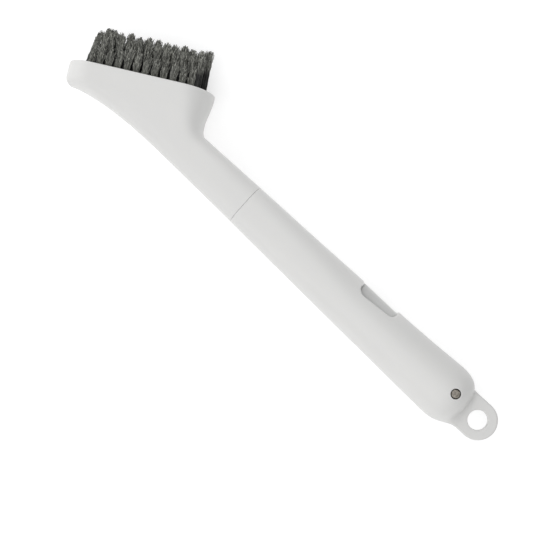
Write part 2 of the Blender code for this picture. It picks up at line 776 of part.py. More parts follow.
def strand(bm, root, tip, root_radius, tip_radius, across, turn):
    """Three-sided strand between two points, with its section in a plane of two axes."""
    first, second = across
    ends = []
    for centre, radius in ((root, root_radius), (tip, tip_radius)):
        ring = []
        for corner in range(3):
            angle = turn + 2 * math.pi * corner / 3
            offset = first * (radius * MM * math.cos(angle)) + second * (radius * MM * math.sin(angle))
            ring.append(bm.verts.new(centre + offset))
        ends.append(ring)
    low, high = ends
    bm.faces.new(low)
    bm.faces.new(high)
    for k in range(3):
        after = (k + 1) % 3
        bm.faces.new((low[k], low[after], high[after], high[k]))


def row_tufts(row):
    """Tuft places, along the face and across it, of one row counted from the middle."""
    number = CENTRE_TUFTS - abs(row)
    first = FIELD_MIDDLE - (number - 1) / 2 * TUFT_PITCH
    return [(first + k * TUFT_PITCH, row * ROW_PITCH) for k in range(number)]


def tuft_lean(along, across):
    """Lean of a tuft along the face and across it, as slopes."""
    reach = (CENTRE_TUFTS - 1) / 2 * TUFT_PITCH
    toe = max(1 - (along - FIELD_MIDDLE + reach) / TOE_LEAN_LENGTH, 0.0)
    heel = max(1 - (FIELD_MIDDLE + reach - along) / HEEL_LEAN_LENGTH, 0.0)
    lean_along = math.tan(math.radians(TOE_LEAN)) * toe - math.tan(math.radians(HEEL_LEAN)) * heel
    lean_across = math.tan(math.radians(SIDE_LEAN)) * across / (2 * ROW_PITCH)
    return lean_along, lean_across


def trim_height(along, across):
    """Height of the trimmed bristle tips over the face."""
    crown = BRISTLE_RIDGE - BRISTLE_CROWN * across ** 2
    toe = TOE_TRIM_HEIGHT + TOE_TRIM_SLOPE * (along - TOE_TRIM_PLACE)
    return min(crown, toe)


def face_place(along, out, across):
    """World position of a place on the face."""
    return place(*from_face(along, out), across)


def row_strands(tufts, seed):
    """All strands of one row as separate closed shapes."""
    chance = random.Random(seed)
    bm = bmesh.new()
    along_axis = Vector((FACE_ALONG[0], FACE_ALONG[1], 0.0))
    across_axis = Vector((0.0, 0.0, 1.0))
    root_out = -BED_RECESS - 0.5
    for along, across in tufts:
        lean_along, lean_across = tuft_lean(along, across)
        for number in range(STRANDS_PER_TUFT):
            if number:
                turn = 2 * math.pi * (number - 0.5) / (STRANDS_PER_TUFT - 1)
                spread = (math.cos(turn), math.sin(turn))
            else:
                spread = (0.0, 0.0)
            root = (along + TUFT_RADIUS * spread[0], across + TUFT_RADIUS * spread[1])
            height = trim_height(along, across)
            end_across = across + lean_across * height + TUFT_SPLAY * spread[1]
            end_along = along + lean_along * height + TUFT_SPLAY * spread[0]
            out = trim_height(end_along, end_across) - chance.uniform(0, TRIM_SCATTER)
            strand(
                bm,
                face_place(root[0], root_out, root[1]),
                face_place(end_along, out, end_across),
                STRAND_RADIUS, STRAND_RADIUS * 0.9,
                (along_axis, across_axis), chance.uniform(0, math.pi),
            )
    return finish_mesh(bm, "strands")


ROW_NAMES = {
    -2: "bristle_row_far_outer",
    -1: "bristle_row_far_inner",
    0: "bristle_row_centre",
    1: "bristle_row_near_inner",
    2: "bristle_row_near_outer",
}


def make_bristle_rows(grey):
    """Five strips of backing, each with its row of tufts."""
    bed_low = -RECESS_DEPTH + CLEARANCE
    for row, name in ROW_NAMES.items():
        low_w = (row - 0.5) * ROW_PITCH + CLEARANCE / 2 if row > -2 else -math.inf
        high_w = (row + 0.5) * ROW_PITCH - CLEARANCE / 2 if row < 2 else math.inf
        strip = face_plate(name, oval(RIM_WALL + CLEARANCE, low_w, high_w), bed_low, -BED_RECESS)
        tufts = row_tufts(row)
        combine(strip, row_strands(tufts, 10 + row), "UNION")
        give(strip, grey)


def crevice_tufts():
    """Places of the crevice tufts, in u and w, in two staggered rows."""
    start = crevice_strip_box()[0] + CREVICE_END_MARGIN
    places = []
    for number in range(CREVICE_TUFTS):
        for side in (-1, 1):
            u = start + (number + (0.5 if side > 0 else 0.0)) * CREVICE_PITCH
            places.append((u, side * CREVICE_ROW_OFFSET))
    return places


def make_crevice_bristles(grey, pivot):
    """Strip with the crevice tufts pointing into the slot."""
    start, end, foot, roof = crevice_strip_box()
    half = CREVICE_STRIP_WIDTH / 2
    strip = prism("crevice_bristles", [(start, foot), (end, foot), (end, roof), (start, roof)], -half, half)
    chance = random.Random(5)
    bm = bmesh.new()
    axes = (Vector((1.0, 0.0, 0.0)), Vector((0.0, 0.0, 1.0)))
    for u, w in crevice_tufts():
        for number in range(3):
            turn = 2 * math.pi * number / 3 + (0.5 if w > 0 else 0.0)
            du = CREVICE_TUFT_RADIUS * math.cos(turn)
            dw = CREVICE_TUFT_RADIUS * math.sin(turn)
            length = CREVICE_LENGTH - chance.uniform(0, TRIM_SCATTER)
            strand(
                bm, place(u + du, foot + 0.5, w + dw), place(u + 1.6 * du, foot - length, w + 1.3 * dw),
                CREVICE_STRAND_RADIUS, CREVICE_STRAND_RADIUS * 0.9, axes, chance.uniform(0, math.pi))
    combine(strip, finish_mesh(bm, "strands"), "UNION")
    give(strip, grey)
    hang_on(strip, pivot)


def main():
    remove_all()
    make_head_shell(material("head_plastic", (0.82, 0.82, 0.80), 0.45))
    make_bristle_rows(material("bristle", (0.12, 0.12, 0.11), 0.6))
    make_handle_body(material("handle_plastic", (0.82, 0.82, 0.80), 0.45))
    make_pivot_pin(material("pin_steel", (0.45, 0.42, 0.38), 0.35, 1.0))

    pivot = bpy.data.objects.new("crevice_pivot", None)
    bpy.context.scene.collection.objects.link(pivot)
    pivot.location = place(PIN_U, PIN_V, 0.0)
    make_crevice_arm(material("arm_plastic", (0.80, 0.80, 0.78), 0.45), pivot)
    make_crevice_bristles(material("crevice_bristle", (0.12, 0.12, 0.11), 0.6), pivot)


main()
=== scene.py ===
# A tank brush lying on its side: white moulded head and handle, five rows of nylon tufts,
# and a small crevice brush folded into the handle on a steel pin.
import math
import bmesh
import bpy
from mathutils import Matrix, Vector


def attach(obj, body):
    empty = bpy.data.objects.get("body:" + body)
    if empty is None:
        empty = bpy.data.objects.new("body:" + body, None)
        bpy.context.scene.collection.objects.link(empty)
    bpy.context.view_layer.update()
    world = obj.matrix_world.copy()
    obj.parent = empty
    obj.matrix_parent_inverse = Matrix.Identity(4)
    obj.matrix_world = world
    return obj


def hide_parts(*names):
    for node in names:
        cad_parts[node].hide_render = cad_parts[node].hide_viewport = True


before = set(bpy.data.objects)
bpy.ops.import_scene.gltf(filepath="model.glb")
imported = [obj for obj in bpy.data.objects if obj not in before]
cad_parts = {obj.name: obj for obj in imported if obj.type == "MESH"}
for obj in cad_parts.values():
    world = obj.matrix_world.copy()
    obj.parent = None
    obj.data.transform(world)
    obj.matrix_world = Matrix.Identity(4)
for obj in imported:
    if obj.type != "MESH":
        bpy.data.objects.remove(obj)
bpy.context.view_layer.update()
print("frame loaded")

# Sizes in mm that several pieces share. u runs from toe to tail, v towards the bristles,
# w across the handle, which is up while the brush lies on its side.
mm = 0.001
brush = {
    "faceLength": 60.9, "faceHalfWidth": 11.9, "faceTilt": math.radians(28.65),
    "toeU": 0.25, "toeV": 7.6, "rimEdge": 0.9, "rimWall": 1.6, "recessDepth": 5.0,
    "seamU": 93.3, "seamTop": 21.5, "seamLow": 3.5, "seamHalfDepth": 9.0,
    "handleLength": 116.7, "tailTop": 23.05, "tailLow": -0.5, "tabReach": 15.0,
    "pinSetback": 7.2, "pinRise": 1.75, "pinRadius": 1.75,
    "spigotRadius": 6.2, "spigotLength": 20.0, "beadHeight": 0.5, "beadLength": 2.0,
    "beadSetback": 6.0, "keyWidth": 2.0, "keyHeight": 1.0, "keyLength": 8.0,
    "rowPitch": 4.1, "tuftPitch": 3.82, "fieldMargin": 5.3, "fieldShift": 0.6, "ridge": 17.7,
    "roundPower": 2.0, "neckPower": 3.2, "powerSpan": 0.62,  # squareness of the sections, 2 is an ellipse
    "fit": 0.3,
}
alongFace = (math.cos(brush["faceTilt"]), math.sin(brush["faceTilt"]))
outOfFace = (-alongFace[1], alongFace[0])
handleEnd = brush["seamU"] + brush["handleLength"]
pinU = handleEnd - brush["pinSetback"]
tailMiddleV = (brush["tailTop"] + brush["tailLow"]) / 2
pinV = tailMiddleV + brush["pinRise"]
axisV = (brush["seamTop"] + brush["seamLow"]) / 2
centreTufts = int((brush["faceLength"] - 2 * brush["fieldMargin"]) / brush["tuftPitch"]) + 1
fieldMiddle = brush["faceLength"] / 2 + brush["fieldShift"]
fieldReach = (centreTufts - 1) / 2 * brush["tuftPitch"]
ridgeV = brush["toeV"] + alongFace[1] * (fieldMiddle + fieldReach) + outOfFace[1] * brush["ridge"]
middleU = (brush["toeU"] - outOfFace[0] * brush["rimEdge"] + handleEnd + brush["tabReach"]) / 2
middleV = (ridgeV + brush["tailLow"]) / 2


def place(u, v, w):
    return Vector(((u - middleU) * mm, (v - middleV) * mm, (w + brush["faceHalfWidth"]) * mm))


def fromFace(along, out):
    return (brush["toeU"] + alongFace[0] * along + outOfFace[0] * out,
            brush["toeV"] + alongFace[1] * along + outOfFace[1] * out)


def toFace(u, v):
    run, rise = u - brush["toeU"], v - brush["toeV"]
    return alongFace[0] * run + alongFace[1] * rise, outOfFace[0] * run + outOfFace[1] * rise


def clamp(x):
    return min(max(x, 0.0), 1.0)


def ease(x):
    x = clamp(x)
    return x * x * (3 - 2 * x)


def blend(a, b, t):
    return a + (b - a) * t


def between(a, b, t):
    return tuple(blend(p, q, t) for p, q in zip(a, b))


def rounding(share, power):
    # part of the width left at a share of the way in from a rounded edge
    return (1 - (1 - clamp(share)) ** power) ** (1 / power)


# Mesh helpers

mergeReach = 2e-6  # metres within which two points become one


def addObject(name, data):
    made = bpy.data.objects.new(name, data)
    bpy.context.scene.collection.objects.link(made)
    return made


def makeObject(name, bm):
    bmesh.ops.remove_doubles(bm, verts=bm.verts, dist=mergeReach)
    bmesh.ops.recalc_face_normals(bm, faces=bm.faces)
    mesh = bpy.data.meshes.new(name)
    bm.to_mesh(mesh)
    bm.free()
    mesh.shade_smooth()
    return addObject(name, mesh)


def joinRings(rings):
    # a mesh with faces between each ring of points and the next
    bm = bmesh.new()
    rows = [[bm.verts.new(place(*point)) for point in ring] for ring in rings]
    for row, following in zip(rows, rows[1:]):
        for k in range(len(row)):
            after = (k + 1) % len(row)
            bm.faces.new((row[k], row[after], following[after], following[k]))
    return bm, rows


def loft(name, rings, closeEnds=True):
    bm, rows = joinRings(rings)
    if closeEnds:
        bm.faces.new(rows[0])
        bm.faces.new(rows[-1])
    return makeObject(name, bm)


def turnOutwards(piece):
    bm = bmesh.new()
    bm.from_mesh(piece.data)
    bmesh.ops.recalc_face_normals(bm, faces=bm.faces)
    bm.to_mesh(piece.data)
    bm.free()


def prism(name, outline, low, high):
    return loft(name, [[(u, v, w) for u, v in outline] for w in (low, high)])


def box(name, low, high, half):
    # straight bar between two corners of its side view
    (u0, v0), (u1, v1) = low, high
    return prism(name, [(u0, v0), (u1, v0), (u1, v1), (u0, v1)], -half, half)


def arc(centre, radius, start, end, steps):
    turns = [math.radians(start + (end - start) * k / steps) for k in range(steps + 1)]
    return [(centre[0] + radius * math.cos(t), centre[1] + radius * math.sin(t)) for t in turns]


def quarter(radius, steps):
    # pairs of inset and drop round a quarter circle
    turns = [math.pi / 2 * k / steps for k in range(steps + 1)]
    return [(radius * (1 - math.cos(t)), radius * (1 - math.sin(t))) for t in turns]


def roundTurns(sides):
    return [2 * math.pi * (k + 0.5) / sides for k in range(sides)]


def turnedAlong(name, profile, sides=64):
    # turned about a line along u, from pairs of place and radius
    turns = roundTurns(sides)
    return loft(name, [[(u, axisV + r * math.cos(t), r * math.sin(t)) for t in turns] for u, r in profile])


def turnedAcross(name, u, v, profile, sides=64):
    # turned about a line across the handle, from pairs of height and radius
    turns = roundTurns(sides)
    return loft(name, [[(u + r * math.cos(t), v + r * math.sin(t), w) for t in turns] for w, r in profile])


def lippedBore(name, u, v, half, radius, lipSize, steps, sides):
    # cutter for a hole through a plate of a half thickness, rounded at both mouths
    side = [(half - drop, radius + inset) for inset, drop in quarter(lipSize, steps)]
    side.append((half + 2.0, radius + lipSize))
    return turnedAcross(name, u, v, [(-w, r) for w, r in reversed(side)] + side, sides)


def outwards(outline):
    # unit normals of a closed outline, pointing away from it
    count = len(outline)
    area = sum(outline[k - 1][0] * outline[k][1] - outline[k][0] * outline[k - 1][1] for k in range(count))
    side = 1 if area > 0 else -1
    normals = []
    for k in range(count):
        a, b = outline[k - 1], outline[(k + 1) % count]
        run, rise = b[0] - a[0], b[1] - a[1]
        size = math.hypot(run, rise) or 1.0
        normals.append((side * rise / size, -side * run / size))
    return normals


def flaredPrism(name, outline, levels, toPoint):
    # rings of the outline, each grown by an offset, at levels that follow a surface
    normals = outwards(outline)
    heights = [-math.inf] * len(outline)
    rings = []
    for grow, level in levels:
        ring = []
        for k, ((a, b), (na, nb)) in enumerate(zip(outline, normals)):
            a, b = a + na * grow, b + nb * grow
            heights[k] = max(level(a, b), heights[k] + 0.001)
            ring.append(toPoint(a, b, heights[k]))
        rings.append(ring)
    return loft(name, rings)


def lip(surface, radius, steps=5):
    # levels that round the edge where a cutter leaves the surface
    return [(inset, lambda a, b, drop=drop: surface(a, b) - drop) for inset, drop in quarter(radius, steps)]


def takeShape(piece):
    # swap the object's mesh for what its modifiers make of it
    depsgraph = bpy.context.evaluated_depsgraph_get()
    made = bpy.data.meshes.new_from_object(piece.evaluated_get(depsgraph), depsgraph=depsgraph)
    piece.modifiers.clear()
    old, label = piece.data, piece.data.name
    piece.data = made
    bpy.data.meshes.remove(old)
    made.name = label


def carve(piece, tools, operation="DIFFERENCE"):
    rack = bpy.data.collections.new("tools")
    bpy.context.scene.collection.children.link(rack)
    for tool in tools:
        rack.objects.link(tool)
    cutter = piece.modifiers.new("carve", "BOOLEAN")
    cutter.operation, cutter.solver = operation, "EXACT"
    cutter.operand_type, cutter.collection = "COLLECTION", rack
    takeShape(piece)
    for tool in tools:
        mesh = tool.data
        bpy.data.objects.remove(tool)
        bpy.data.meshes.remove(mesh)
    bpy.data.collections.remove(rack)


def smoothShade(piece, sharpAngle=32, faceWeight=60):
    # smooth faces, real edges kept crisp, large faces leading the normals
    piece.data.shade_smooth()
    piece.data.set_sharp_from_angle(angle=math.radians(sharpAngle))
    weigh = piece.modifiers.new("weigh", "WEIGHTED_NORMAL")
    weigh.keep_sharp, weigh.weight = True, faceWeight
    takeShape(piece)


def dress(piece, finish, body, node):
    if finish:
        piece.data.materials.clear()
        piece.data.materials.append(finish)
    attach(piece, body)
    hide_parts(node)
    print(piece.name, len(piece.data.polygons), "faces")


# Node helpers, for shader and geometry trees alike

def addNode(tree, kind, inputs=None, **settings):
    node = tree.nodes.new(kind)
    for key, value in settings.items():
        setattr(node, key, value)
    for label, value in (inputs or {}).items():
        if isinstance(label, int):
            socket = node.inputs[label]
        else:
            socket = next(s for s in node.inputs if s.name == label and s.enabled)
        if isinstance(value, bpy.types.NodeSocket):
            tree.links.new(value, socket)
        else:
            socket.default_value = value
    return node


def result(node):
    return next(s for s in node.outputs if s.enabled)


def calc(tree, operation, *values):
    return addNode(tree, "ShaderNodeMath", dict(enumerate(values)), operation=operation).outputs[0]


def times(tree, a, b):
    return calc(tree, "MULTIPLY", a, b)


def plus(tree, a, b):
    return calc(tree, "ADD", a, b)


def minus(tree, a, b):
    return calc(tree, "SUBTRACT", a, b)


def timesPlus(tree, a, b, c):
    return calc(tree, "MULTIPLY_ADD", a, b, c)


def spread(tree, value, fromLow, fromHigh, toLow, toHigh, kind="LINEAR"):
    node = addNode(tree, "ShaderNodeMapRange", {
        "Value": value, "From Min": fromLow, "From Max": fromHigh, "To Min": toLow, "To Max": toHigh,
    }, interpolation_type=kind)
    return result(node)


def cube(tree, value):
    return times(tree, value, times(tree, value, value))


def vector(tree, x, y, z):
    return addNode(tree, "ShaderNodeCombineXYZ", {0: x, 1: y, 2: z}).outputs[0]


def vectorCalc(tree, operation, a, b):
    kind = "Scale" if operation == "SCALE" else 1
    return addNode(tree, "ShaderNodeVectorMath", {0: a, kind: b}, operation=operation).outputs[0]


def lengthOf(tree, value):
    return addNode(tree, "ShaderNodeVectorMath", {0: value}, operation="LENGTH").outputs["Value"]


def meshPlace(tree):
    # place of each point of the mesh, apart in x, y and z
    where = addNode(tree, "GeometryNodeInputPosition").outputs[0]
    return addNode(tree, "ShaderNodeSeparateXYZ", {0: where}).outputs


def newTree(name, sizes):
    # geometry tree with a named input for each size
    tree = bpy.data.node_groups.new(name, "GeometryNodeTree")
    tree.interface.new_socket("Geometry", in_out="INPUT", socket_type="NodeSocketGeometry")
    tree.interface.new_socket("Geometry", in_out="OUTPUT", socket_type="NodeSocketGeometry")
    for label, value in sizes.items():
        kind = "NodeSocketInt" if isinstance(value, int) else "NodeSocketFloat"
        tree.interface.new_socket(label, in_out="INPUT", socket_type=kind)
    return tree, addNode(tree, "NodeGroupInput").outputs


def toWorld(tree, geometry, start, turn=0.0):
    # from millimetres in a piece's own frame to its place in the scene
    return addNode(tree, "GeometryNodeTransform", {
        "Geometry": geometry, "Translation": tuple(start), "Rotation": (0.0, 0.0, turn), "Scale": (mm, mm, mm),
    }).outputs[0]


def closeTree(tree, geometry, finish):
    plain = addNode(tree, "GeometryNodeRealizeInstances", {"Geometry": geometry})
    painted = addNode(tree, "GeometryNodeSetMaterial", {"Geometry": plain.outputs[0], "Material": finish})
    addNode(tree, "NodeGroupOutput", {"Geometry": painted.outputs[0]})


def runTree(piece, tree, sizes):
    made = piece.modifiers.new(tree.name, "NODES")
    made.node_group = tree
    for item in tree.interface.items_tree:
        if item.item_type == "SOCKET" and item.in_out == "INPUT" and item.name in sizes:
            made[item.identifier] = sizes[item.name]
    takeShape(piece)


def newFinish(name):
    finish = bpy.data.materials.new(name)
    finish.use_nodes = True
    return finish, finish.node_tree, finish.node_tree.nodes["Principled BSDF"]


def noise(tree, where, scale, detail=2.0, rough=0.5):
    node = addNode(tree, "ShaderNodeTexNoise", {
        "Vector": where, "Scale": scale, "Detail": detail, "Roughness": rough})
    return node.outputs[0]


def tint(tree, share, low, high):
    mix = tree.nodes.new("ShaderNodeMix")
    mix.data_type = "RGBA"
    for label, value in (("Factor", share), ("A", low), ("B", high)):
        socket = next(s for s in mix.inputs if s.name == label and s.enabled)
        if isinstance(value, bpy.types.NodeSocket):
            tree.links.new(value, socket)
        else:
            socket.default_value = (*value, 1.0) if label != "Factor" else value
    return result(mix)


def objectPlace(tree):
    return addNode(tree, "ShaderNodeTexCoord").outputs["Object"]


def carried(tree, name):
    # number that the piece's points carry under a name
    return addNode(tree, "ShaderNodeAttribute", attribute_name=name).outputs["Fac"]


def setOn(shader, values):
    for label, value in values.items():
        shader.inputs[label].default_value = value


def addBump(tree, shader, height, distance, strength):
    bump = addNode(tree, "ShaderNodeBump", {"Strength": strength, "Distance": distance * mm, "Height": height})
    tree.links.new(bump.outputs[0], shader.inputs["Normal"])


# Finishes: tones are plain light shares, scales are patches to the metre, depths and reaches are mm

whitePlastic = {
    "tone": (0.722, 0.716, 0.700), "thinTone": (0.684, 0.680, 0.668),
    "mottle": 55.0, "mottleShare": 0.45, "mottleRange": (0.35, 0.68),
    "flow": 9.0, "flowShare": 0.55, "flowRange": (0.3, 0.7), "flowStretch": 0.35,
    "grain": 2400.0, "grainHeight": 0.010, "grainStrength": 0.35,
    "gloss": (0.36, 0.47), "ior": 1.49, "scatter": 0.06, "scatterTone": (1.0, 0.95, 0.85), "scatterReach": 1.2,
}


def makePlastic(name, look):
    # satin injection-moulded plastic: faint flow mottling and a fine eroded texture
    finish, tree, shader = newFinish(name)
    where = objectPlace(tree)
    stretched = addNode(tree, "ShaderNodeMapping", {
        "Vector": where, "Scale": (look["flowStretch"], 1.0, 1.0)}).outputs[0]
    mottle = noise(tree, stretched, look["mottle"], 4.0, 0.55)
    mottle = spread(tree, mottle, *look["mottleRange"], 0.0, 1.0)
    flow = spread(tree, noise(tree, stretched, look["flow"]), *look["flowRange"], 0.0, 1.0)
    share = timesPlus(tree, mottle, look["mottleShare"], times(tree, flow, look["flowShare"]))
    body = tint(tree, share, look["thinTone"], look["tone"])
    # painted highlight: a lighter tone where a piece's points carry an edge-light share
    if "paintedEdgeLightTone" in look:
        body = tint(tree, carried(tree, "paintedEdgeLight"), body, look["paintedEdgeLightTone"])
    tree.links.new(body, shader.inputs["Base Color"])
    fine = noise(tree, where, look["grain"], 3.0, 0.6)
    dull = timesPlus(tree, mottle, 0.5, times(tree, fine, 0.5))
    tree.links.new(spread(tree, dull, 0.2, 0.8, *look["gloss"]), shader.inputs["Roughness"])
    addBump(tree, shader, fine, look["grainHeight"], look["grainStrength"])
    setOn(shader, {"IOR": look["ior"], "Subsurface Weight": look["scatter"],
                   "Subsurface Radius": look["scatterTone"], "Subsurface Scale": look["scatterReach"] * mm})
    return finish


nylon = {
    # the root tone is painted shade at the roots; the glint entries make painted glints on the crimps
    "paintedRootShade": (0.020, 0.0205, 0.019), "darkTone": (0.050, 0.051, 0.044), "paleTone": (0.370, 0.370, 0.330),
    "streaks": 1500.0, "streakShare": 0.35, "paintedGlints": 1050.0, "paintedGlintShare": 0.4, "paintedGlintRange": (0.38, 0.64),
    "filamentShare": 0.9, "filamentShift": -0.62, "middleTone": 0.4,
    "sideContrast": 0.22, "contrastRange": (0.5, 0.88),
    "gloss": (0.38, 0.6), "ior": 1.53,
}


def makeNylon(name, look):
    # crimped nylon filament: each one its own tone, duller towards the cut tip and paler there, as painted shade
    # darkens the root; painted glints speckle the crimps
    finish, tree, shader = newFinish(name)
    reach, where, swing = carried(tree, "reach"), objectPlace(tree), look["paintedGlintShare"]
    streak = noise(tree, where, look["streaks"])
    # painted glints: bright and dark speckle in the colour, standing in for light caught on the crimps
    paintedGlint = spread(tree, noise(tree, where, look["paintedGlints"], 3.0, 0.7), *look["paintedGlintRange"], -swing, swing)
    own = timesPlus(tree, carried(tree, "tone"), look["filamentShare"], look["filamentShift"])
    mixed = timesPlus(tree, streak, look["streakShare"], own)
    contrast = spread(tree, reach, *look["contrastRange"], look["sideContrast"], 1.0, "SMOOTHSTEP")
    share = timesPlus(tree, plus(tree, mixed, paintedGlint), contrast, look["middleTone"])
    body = tint(tree, share, look["darkTone"], look["paleTone"])
    # painted shade: the colour darkens to a near-black tone towards the root; the backing strips carry no lit
    # share and take the root tone too
    tree.links.new(tint(tree, carried(tree, "lit"), look["paintedRootShade"], body), shader.inputs["Base Color"])
    dull = spread(tree, times(tree, streak, reach), 0.0, 0.7, *look["gloss"])
    tree.links.new(dull, shader.inputs["Roughness"])
    setOn(shader, {"IOR": look["ior"]})
    return finish


steel = {
    "tone": (0.31, 0.285, 0.25), "darkTone": (0.17, 0.155, 0.135), "gloss": (0.34, 0.55),
    "rings": 31200.0, "ringDepth": 0.01, "ringStrength": 0.25, "stains": 900.0, "stainRange": (0.35, 0.65),
}


def makeSteel(name, look):
    # dull cut steel: fine rings from the lathe and a little staining
    finish, tree, shader = newFinish(name)
    where, (low, high) = objectPlace(tree), look["gloss"]
    centred = addNode(tree, "ShaderNodeMapping", {
        "Vector": where, "Location": tuple(-place(pinU, pinV, 0.0))}).outputs[0]
    flat = vectorCalc(tree, "MULTIPLY", centred, (1.0, 1.0, 0.0))
    rings = calc(tree, "SINE", times(tree, lengthOf(tree, flat), look["rings"]))
    stain = spread(tree, noise(tree, where, look["stains"], 3.0, 0.6), *look["stainRange"], 0.0, 1.0)
    tree.links.new(tint(tree, stain, look["darkTone"], look["tone"]), shader.inputs["Base Color"])
    tree.links.new(spread(tree, stain, 0.0, 1.0, high, low), shader.inputs["Roughness"])
    addBump(tree, shader, rings, look["ringDepth"], look["ringStrength"])
    setOn(shader, {"Metallic": 1.0})
    return finish


headPlastic = makePlastic("headPlastic", whitePlastic)
handlePlastic = makePlastic("handlePlastic", {**whitePlastic, "mottle": 70.0, "flow": 14.0})
# the arm's plastic: tones darker than the handle's as painted shade for its recess in the slot, with a lighter
# painted highlight along its rounded back
armShadedPlastic = makePlastic("armShadedPlastic", {
    **whitePlastic, "tone": (0.640, 0.640, 0.628), "thinTone": (0.600, 0.602, 0.594),
    "paintedEdgeLightTone": (0.78, 0.775, 0.76)})
bristleNylon = makeNylon("bristleNylon", nylon)
creviceNylon = makeNylon("creviceNylon", {**nylon, "darkTone": (0.07, 0.07, 0.06)})
pinSteel = makeSteel("pinSteel", steel)
print("finishes made")


# Head piece: an oval cup for the bristles, its flat sides running down into the neck

head = {
    "bandHeight": 8.0, "flankDrop": 24.0,
    "toeWall": 6.2, "toeCornerLength": 3.2, "toeCornerDrop": 3.55,
    "neckHalfDepth": 8.5, "neckTop": 21.3, "neckLow": 4.8,
    "heelBulge": 0.8, "heelWall": 6.5, "filletLength": 9.5,
    "neckCoreRadius": 3.6, "neckCoreLength": 42.0,
    "bellyPulls": ((15.0, 3.5), (30.0, 5.7)), "heelPull": 6.3,
    "spigotRoot": 4.0, "spigotNose": 1.0, "spigotTaper": 0.8, "coreNose": 3.0, "coreTaper": 0.6,
    "innerLip": 0.4, "seamEdge": 0.14,
    "faceRings": 120, "heelRings": 40, "neckRings": 22, "sideSteps": 52, "fine": 80,
}
heelU = fromFace(brush["faceLength"], 0)[0]
undersideBend = [
    fromFace(head["toeCornerLength"], -head["toeWall"] - head["toeCornerDrop"]),
    *head["bellyPulls"],
    (heelU + 1.0, head["neckLow"] - 0.05),
]
heelFoot = (heelU + head["filletLength"], head["neckTop"])
neckFoot = (heelFoot[0] + 1.0, head["neckLow"] - 0.3)
heelBend = [
    fromFace(brush["faceLength"], -brush["rimEdge"]),
    fromFace(brush["faceLength"] + head["heelBulge"], -head["heelWall"]),
    (heelFoot[0] - head["heelPull"], head["neckTop"] - 0.1),
    heelFoot,
]


def onBend(points, t):
    # point of a cubic bend with four pulls
    s = 1 - t
    weights = (s ** 3, 3 * s * s * t, 3 * s * t * t, t ** 3)
    return tuple(sum(k * p[axis] for k, p in zip(weights, points)) for axis in range(2))


def edgeInset(depth):
    # how far the rounded rim edge stands back at a depth under the face
    rest = max(brush["rimEdge"] - depth, 0.0)
    return brush["rimEdge"] - math.sqrt(max(brush["rimEdge"] ** 2 - rest ** 2, 0.0))


def undersidePoint(along):
    corner = head["toeCornerLength"] + brush["rimEdge"]
    if along < corner:
        turn = along / corner * math.pi / 2
        out = -head["toeWall"] - head["toeCornerDrop"] * math.sin(turn)
        return fromFace(head["toeCornerLength"] * (1 - math.cos(turn)), out)
    return onBend(undersideBend, (along - corner) / (brush["faceLength"] - corner))


neckStart = (heelFoot[1] - undersideBend[-1][1]) / 2
seamHalfHeight = (brush["seamTop"] - brush["seamLow"]) / 2


def roofLine():
    # edge down the heel and along the neck, with the reach and squareness of its rounding
    wide, soft, square = brush["faceHalfWidth"], brush["roundPower"], brush["neckPower"]
    line = [(*fromFace(brush["faceLength"], wide), wide, soft)]
    for k in range(head["fine"] + 1):
        reach = between((wide, soft), (neckStart, square), ease(k / head["fine"]))
        line.append((*onBend(heelBend, k / head["fine"]), *reach))
    return line + [(brush["seamU"], brush["seamTop"], seamHalfHeight, square)]


def keelLine():
    # edge along the underside, from the toe corner to the seam
    soft, square, line = brush["roundPower"], brush["neckPower"], []
    corner = head["toeCornerLength"] + brush["rimEdge"]
    for k in range(head["fine"] + 1):
        low = undersidePoint(corner + (brush["faceLength"] - corner) * k / head["fine"])
        floor = -toFace(*low)[1]
        reach = min(max(floor - head["bandHeight"], floor / 4), neckStart)
        line.append((*low, reach, blend(soft, square, ease(reach / neckStart))))
    return line + [(*neckFoot, neckStart, square), (brush["seamU"], brush["seamLow"], seamHalfHeight, square)]


roof, keel = roofLine(), keelLine()


def nearestEdge(line, u, v):
    best = (math.inf, 1.0, 2.0)
    for (u0, v0, reach0, power0), (u1, v1, reach1, power1) in zip(line, line[1:]):
        run, rise = u1 - u0, v1 - v0
        t = clamp(((u - u0) * run + (v - v0) * rise) / (run * run + rise * rise))
        gap = math.hypot(u - u0 - run * t, v - v0 - rise * t)
        if gap < best[0]:
            best = (gap, blend(reach0, reach1, t), blend(power0, power1, t))
    return best


def toeSetback(depth):
    if depth < head["toeWall"]:
        return edgeInset(depth)
    share = min((depth - head["toeWall"]) / head["toeCornerDrop"], 1.0)
    return head["toeCornerLength"] * (1 - math.sqrt(1 - share ** 2))


def headHalfWidth(u, v):
    # half width of the head piece at a point of its side view
    along, out = toFace(u, v)
    inset = edgeInset(-out)
    run = clamp((u - heelFoot[0]) / (brush["seamU"] - heelFoot[0]))
    neck = blend(head["neckHalfDepth"], brush["seamHalfDepth"], run)
    narrow = (neck - brush["faceHalfWidth"]) * ease((-out - head["bandHeight"]) / head["flankDrop"])
    radius = brush["faceHalfWidth"] - inset
    width = (radius + narrow) * rounding((along - toeSetback(-out)) / radius, 2.0)
    gap, reach, power = nearestEdge(roof, u, v)
    width *= rounding((gap - inset) / (reach - inset), power)
    gap, reach, power = nearestEdge(keel, u, v)
    return width * rounding(gap / reach, power)


